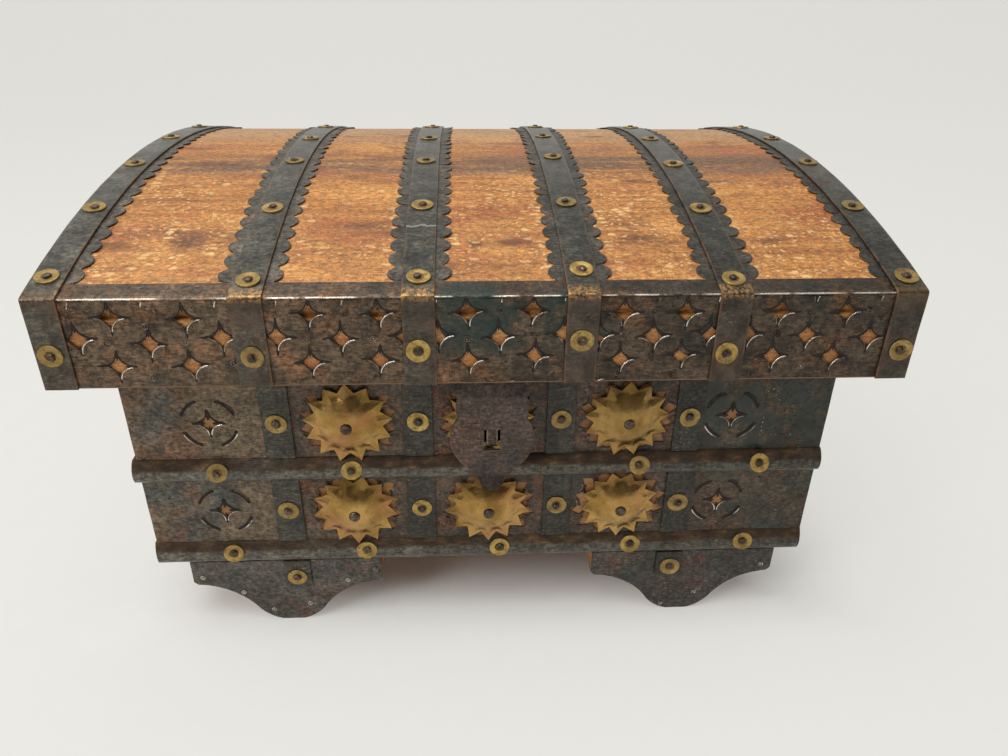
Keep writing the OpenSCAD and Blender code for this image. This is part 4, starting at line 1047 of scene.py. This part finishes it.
# Painted highlight: a pale line along each band's lower edge, laid on as bare metal.
middle_edge = times(graded(z, 0.1138, 0.1145, 1, 0), graded(z, 0.1, 0.11))
lower_edge_highlight = plus(middle_edge, graded(z, 0.0516, 0.0523, 1, 0))
lower_edge_highlight = times(lower_edge_highlight, graded(noise(place, 80, 4), 0.42, 0.56, 0, 0.7))
worn_through(skin, tone, rough, lower_edge_highlight, (158, 142, 118), 0.3)
for node in ("middle_band", "bottom_band"):
    band = worked(node, node, 5, 0.7, edge=0.3, cuts="x")
    dressed(band, band_iron)
    stands_for(band, "body", "strap_iron", node)

# The feet's facings: sheet iron cut to the outline of the boards, held by tacks along the curve
foot_iron, skin, place, tone, rough = iron_finish(
    "foot_iron", (84, 78, 70), (68, 68, 66), (106, 78, 64), size=38, patches=0.42, rustiness=0.36,
    metallic=0.45, dull=0.66, bright=0.45)
RED_SPOTS = (((-86, -162.5, 44), (5, 4, 3), 0.7), ((140, -162.5, 42), (7, 5, 3), 0.55))
tone = spotted(place, (134, 66, 52), tone, RED_SPOTS)
worn_through(skin, tone, rough, graded(noise(place, 150, 6, 0.7), 0.68, 0.8), (142, 124, 108), 0.4)
facings = worked("foot_plates", "foot_facings", 4, 0.4, edge=0.25)
edit(facings)
choose(lambda place: place.z < 0.1 * MM)
shifted(0, 0, 0.04 * MM)
done()
dressed(facings, foot_iron)
FOOT_TACKS = (
    (-177, 37), (-153.4, 24), (-136, 8.6), (-112.5, 13), (-87, 32), (-69, 40.5),
    (179.5, 36.6), (157.5, 26), (138, 14), (116.5, 4.8),
)
trims = []
for tack_x, tack_z in FOOT_TACKS:
    spot = (tack_x * MM, (BODY_FRONT - 1.05) * MM, tack_z * MM)
    trims.append(on_front(tack, spot, 0, (0.9, 0.9, 0.9)))
facings = joined("foot_facings", [facings, joined("trim", trims, bright_iron)])
stands_for(facings, "body", "foot_iron", "foot_plates")
removed(tack)


# The bosses: six stars of thin brass, each beaten into a low dome, its thirteen points creased and lifted.
# A big flat-headed nail holds each but the middle one of the upper row, which is cut for the staple.
BOSS_POINTS = 13
boss_brass, skin, place = new_finish("boss_brass", Metallic=0.97)
wide = noise(place, 46, 5, 0.6)
fine = noise(place, 330, 6, 0.65)
tone = shades(
    wide, (0.3, (128, 96, 48)), (0.45, (164, 128, 70)), (0.58, (192, 154, 92)), (0.72, (168, 126, 78)))
tone = mixed(graded(fine, 0.5, 0.7, 0, 0.3), tone, (112, 84, 46))
tone = mixed(graded(noise(place, 30, 3), 0.5, 0.64, 0, 0.5), tone, (180, 120, 82))
x, y, z = split(place)
# Painted shade and reflection: the upper part of each boss is darkened, as under the lid's overhang.
for row_z in (UPPER_ROW, LOWER_ROW):
    above = graded(z, (row_z + 4) * MM, (row_z + 20) * MM)
    under = times(above, graded(z, (row_z + 28) * MM, (row_z + 30) * MM, 1, 0))
    tone = mixed(times(under, graded(noise(place, 70, 4), 0.36, 0.62, 0.35, 0.85)), tone, (82, 62, 34))
# Painted shade: the upper row of bosses darker towards the right, in the lid's shadow.
upper_row_painted_shade = scaled(tone, graded(x, -0.08, 0.08, 0.95, 0.74))
tone = mixed(graded(z, 0.12, 0.125), tone, upper_row_painted_shade)
relief = raised(plus(wide, times(fine, 0.3)), 0.0007, 0.6)
fed(skin, Base_Color=tone, Roughness=graded(fine, 0.3, 0.7, 0.18, 0.34), Normal=relief)


def spread(across, along):
    """Stretches the selection away from the origin."""
    bpy.ops.transform.resize(value=(across, along, 1), center_override=(0, 0, 0))


# The dome's profile: each ring's radius and height, out to its rim
RIM_R = 21.3
RINGS = ((5, 9.6), (8, 8.8), (11, 7.6), (13.5, 6.2), (15.6, 4.9), (17.4, 3.8), (19.2, 3.1), (RIM_R, 2.8))
ring_r, ring_z = 2, 9.9
boss = primitive("circle", vertices=4 * BOSS_POINTS, radius=ring_r * MM, fill_type="NGON")
edit(boss)
choose_all()
shifted(0, 0, ring_z * MM)
bpy.ops.mesh.region_to_loop()
for next_r, next_z in RINGS:
    extruded(0, 0, (next_z - ring_z) * MM)
    spread(next_r / ring_r, next_r / ring_r)
    ring_r, ring_z = next_r, next_z
done()


def ring_spots(low_r, high_r, phase):
    """Picks, between two radii of the boss, what lies on one of the four spokes of each of its points."""
    def test(place):
        reach = hypot(place.x, place.y) / MM
        step = (atan2(place.y, place.x) / (2 * pi) * 4 * BOSS_POINTS) % 4
        away = min(abs(step - phase), 4 - abs(step - phase))
        return low_r < reach < high_r and away < 0.5
    return test


# Each step: the radii it takes in, which of a point's four spokes, by how much it stretches and lifts them
for low_r, high_r, phase, stretch, lift in (
    (13, 14, 0, 1.0, 0.2), (15, 16, 0, 1.0, 0.4), (17, 18, 0, 1.02, 0.7), (17, 18, 2, 0.98, -0.2),
    (18.6, 20, 0, 1.06, 1.0), (18.6, 20, 2, 0.945, -0.3), (20.6, 22, 0, 25.5 / RIM_R, 0.8),
    (20.6, 22, 1, 22 / RIM_R, 0.1), (20.6, 22, 3, 22 / RIM_R, 0.1), (20.6, 22, 2, 19.6 / RIM_R, -0.2),
):
    edit(boss)
    choose(ring_spots(low_r, high_r, phase))
    spread(stretch, stretch)
    shifted(0, 0, lift * MM)
    done()
solid(boss, 0.8 * MM)
rounded(boss, 0.12, sharper_than=55)
smoothed(boss, 24)

half_step = pi / BOSS_POINTS
bosses = []
for boss_x, lower_size, upper_size in zip(BOSS_XS, (1.0, 1.0, 0.95), (1.02, 1.04, 0.99)):
    for row_z, turn, size in (
        (LOWER_ROW, pi / 2 + half_step, lower_size), (UPPER_ROW, -pi / 2 - half_step, upper_size),
    ):
        star = copied(boss)
        set_down(star, turn=turn, size=(size, size * chance.uniform(0.97, 1.0), chance.uniform(0.94, 1.0)))
        star.data.transform(Matrix.Rotation(radians(chance.uniform(-1.0, 1.0)), 4, "X"))
        bosses.append(set_down(star, (boss_x * MM, (BODY_FRONT - 0.15) * MM, row_z * MM), pi / 2))
        if boss_x == BOSS_XS[1] and row_z == UPPER_ROW:
            bore = primitive("cylinder", vertices=32, radius=8.2 * MM, depth=40 * MM)
            cut_away(star, set_down(bore, (3.5 * MM, BODY_FRONT * MM, 147 * MM), pi / 2))
removed(boss)
bosses = joined("brass_bosses", bosses, boss_brass)
dented(bosses, 0.5 * MM)
stands_for(bosses, "body", "boss_brass", "star_bosses")

# Their nails: a flat head, hammered off square
nail_iron, skin, place, tone, rough = iron_finish(
    "nail_iron", (92, 78, 66), (64, 55, 48), (112, 80, 56), size=160, patches=0.5, rustiness=0.4,
    metallic=0.6, dull=0.55, bright=0.32)
worn_through(skin, tone, rough, graded(noise(place, 260, 5), 0.6, 0.72), (150, 140, 128))


def nail_head(radius, height, sides):
    """A nail's head, its top flattened by the hammer."""
    sizes = {"vertices": sides, "radius": radius * MM, "depth": height * MM}
    head = settled(primitive("cylinder", location=(0, 0, height / 2 * MM), **sizes))
    edit(head)
    choose(lambda place: place.z > 0.9 * height * MM)
    spread(0.78, 0.84)
    done()
    return smoothed(rounded(head, 0.16 * radius, 2, 20), 60)


big_head = nail_head(3.6, 1.4, 14)
heads = []
for boss_x in BOSS_XS:
    for row_z in (LOWER_ROW, UPPER_ROW):
        if boss_x != BOSS_XS[1] or row_z == LOWER_ROW:
            x = boss_x + chance.uniform(-0.5, 0.5)
            z = row_z + chance.uniform(-0.5, 0.5)
            spot = (x * MM, (BODY_FRONT - 9.75) * MM, z * MM)
            heads.append(on_front(big_head, spot, chance.uniform(0, 6)))
removed(big_head)
stands_for(joined("boss_nail_heads", heads, nail_iron), "body", "nail_iron", "boss_nails")


# The washers: discs of brass, cut by hand and dished, one under each nail. No two are quite round, and the
# nails rarely sit in their middle.
washer_brass, skin, place = new_finish("washer_brass", Metallic=0.65)
wide = noise(place, 120, 5, 0.6)
fine = noise(place, 520, 6, 0.65)
tone = shades(wide, (0.3, (126, 102, 56)), (0.5, (176, 144, 78)), (0.7, (210, 178, 104)))
tone = mixed(graded(noise(place, 13, 2), 0.42, 0.6, 0, 0.5), tone, (118, 100, 66))
tone = mixed(graded(fine, 0.5, 0.66, 0, 0.6), tone, (92, 76, 48))
relief = raised(plus(wide, fine), 0.0003, 0.6)
fed(skin, Base_Color=tone, Roughness=graded(fine, 0.3, 0.7, 0.3, 0.55), Normal=relief)

washer_dirt, skin, place = new_finish("washer_dirt", Metallic=0.4, Roughness=0.6)
grime = shades(noise(place, 420, 5), (0.3, (66, 46, 28)), (0.5, (112, 84, 44)), (0.7, (146, 116, 64)))
fed(skin, Base_Color=grime, Normal=raised(noise(place, 500, 4), 0.0003, 0.6))

WASHER_R = 6.3
DIRT_R = 3.1
washer = primitive("cylinder", vertices=28, radius=WASHER_R * MM, depth=0.8 * MM, location=(0, 0, 0.4 * MM))
settled(washer)
edit(washer)
bpy.ops.mesh.select_mode(type="FACE")
mesh = bmesh.from_edit_mesh(washer.data)
for face in mesh.faces:
    face.select = face.normal.z > 0.9
bmesh.update_edit_mesh(washer.data)
for width, lift in ((0.6, 0.1), (1.5, -0.16), (1.2, -0.2)):
    bpy.ops.mesh.inset(thickness=width * MM, depth=lift * MM)
done()
dressed(rounded(washer, 0.15), washer_brass, washer_dirt)
for face in washer.data.polygons:
    face.material_index = int(hypot(face.center.x, face.center.y) < DIRT_R * MM)
small_head = nail_head(2.35, 1.25, 9)


def washers_at(spots, body):
    """A washer and a nail's head at each spot, joined as one piece of brass and one of iron."""
    discs, heads = [], []
    for spot, tilt in spots:
        oval = (chance.uniform(0.93, 1.02), chance.uniform(0.93, 1.02), 1)
        disc = set_down(copied(washer), turn=chance.uniform(0, 6), size=oval)
        discs.append(set_down(disc, spot, tilt))
        shift = Vector((chance.uniform(-0.9, 0.9), chance.uniform(-0.9, 0.9), 0.62)) * MM
        head = set_down(copied(small_head), shift, 0, chance.uniform(0, 6), (1, chance.uniform(0.82, 1), 1))
        heads.append(set_down(head, spot, tilt))
    discs = joined(f"{body}_washer_discs", discs)
    dented(discs, 0.6 * MM)
    stands_for(smoothed(discs), body, "washer_brass", f"{body}_washers")
    stands_for(joined(f"{body}_nail_heads", heads, nail_iron), body, "nail_iron", f"{body}_nails")


# Along each strap on the top, and up from the rim on each strap's front, in millimetres
ON_TOP = (
    (-216.5, (16, 86, 156, 230, 300)), (-118, (12, 84.5, 161.6, 226, 299)),
    (-34, (13.6, 87.5, 161.6, 227, 300)), (49, (19, 91, 171, 237, 305)),
    (126, (10, 82.5, 154.5, 226, 298)), (216.8, (11, 85, 158, 229, 300)),
)
ON_FRONT = ((-216.3, 20), (-118, 18), (-34.7, 20.6), (48.5, 25.3), (124.4, 17), (217, 17.6))
lid_spots = [on_arch(x, along, 2.2) for x, places in ON_TOP for along in places]
for x, height in ON_FRONT:
    lid_spots.append((Vector((x * MM, LID_FRONT - 2.2 * MM, RIM_Z + height * MM)), pi / 2))
washers_at(lid_spots, "lid")

BODY_STRAP_XS = (-117.5, -38.0, 43.5, 118.0)
flat_spots = [(x, z) for x in BODY_STRAP_XS for z in (UPPER_ROW, LOWER_ROW)]
foot_spots = [(-118, 37), (119, 38)]
body_spots = [(Vector((x, BODY_FRONT - 2.2, z)) * MM, pi / 2) for x, z in flat_spots]
body_spots += [(Vector((x, -167.1, 120.25)) * MM, radians(90 - 9.32)) for x in (-154, -77.5, 2, 91, 163)]
body_spots += [(Vector((x, -165.25, 58.55)) * MM, radians(90 - 6.66)) for x in (-154, -73, 9, 91, 163)]
body_spots += [(Vector((x, BODY_FRONT - 2.2, z)) * MM, pi / 2) for x, z in foot_spots]
washers_at(body_spots, "body")
removed(washer, small_head)


# The lock: a shield of thick iron hung from a rod under the lid's front, its tongue bent and rough, over a
# worn bright staple. The leaf that carries the rod is nailed under the rail.
hasp_iron, skin, place, tone, rough = iron_finish(
    "hasp_iron", (84, 70, 62), (68, 62, 58), (94, 70, 60), size=30, patches=0.42, rustiness=0.42,
    metallic=0.5, dull=0.55, bright=0.4, relief=0.0004)
tongue = graded(split(place)[2], 0.121, 0.126, 1, 0)
crust = noise(place, 260, 6, 0.7)
tone = mixed(tongue, tone, shades(crust, (0.35, (34, 28, 24)), (0.55, (62, 50, 42)), (0.7, (96, 84, 74))))
rough = mixed_value(tongue, rough, 0.75)
worn_through(skin, tone, rough, graded(noise(place, 480, 4), 0.66, 0.72, 0, 0.7), (138, 122, 112), 0.35)
for node, name, rides in (
    ("hasp_plate", "hasp_shield", "hasp"), ("hasp_leaf", "hasp_hanger", "lid"),
    ("hasp_pin", "hasp_rod", "lid"),
):
    part = worked(node, name, 3, 0.25, edge=0.25)
    dressed(part, hasp_iron)
    stands_for(part, rides, "hasp_iron", node)

STAPLE_X = 0.0035
staple_iron, skin, place, tone, rough = iron_finish(
    "staple_iron", (84, 72, 62), (62, 54, 48), (96, 72, 58), size=200, patches=0.45, rustiness=0.32,
    metallic=0.8, dull=0.5, bright=0.25)
from_middle = distance_from(split(place)[0], STAPLE_X)
worn_edge = times(graded(from_middle, 0.0022, 0.003), graded(noise(place, 300, 4), 0.35, 0.6, 0.3, 1))
worn_through(skin, tone, rough, worn_edge, (158, 146, 132), 0.25)
staple = worked("staple", "worn_staple", 2, 0.2, edge=0.5)
dressed(staple, staple_iron)
stands_for(staple, "body", "hasp_iron", "staple")


# The hinges: two at the back, each two iron leaves on a rod
for node, name, rides in (
    ("hinge_body_leaves", "hinge_lower_leaves", "body"), ("hinge_lid_leaves", "hinge_upper_leaves", "lid"),
    ("hinge_pins", "hinge_rods", "body"),
):
    part = worked(node, name, 4, 0, edge=0.2, cuts="x")
    dressed(part, body_strap_iron)
    stands_for(part, rides, "strap_iron", node)
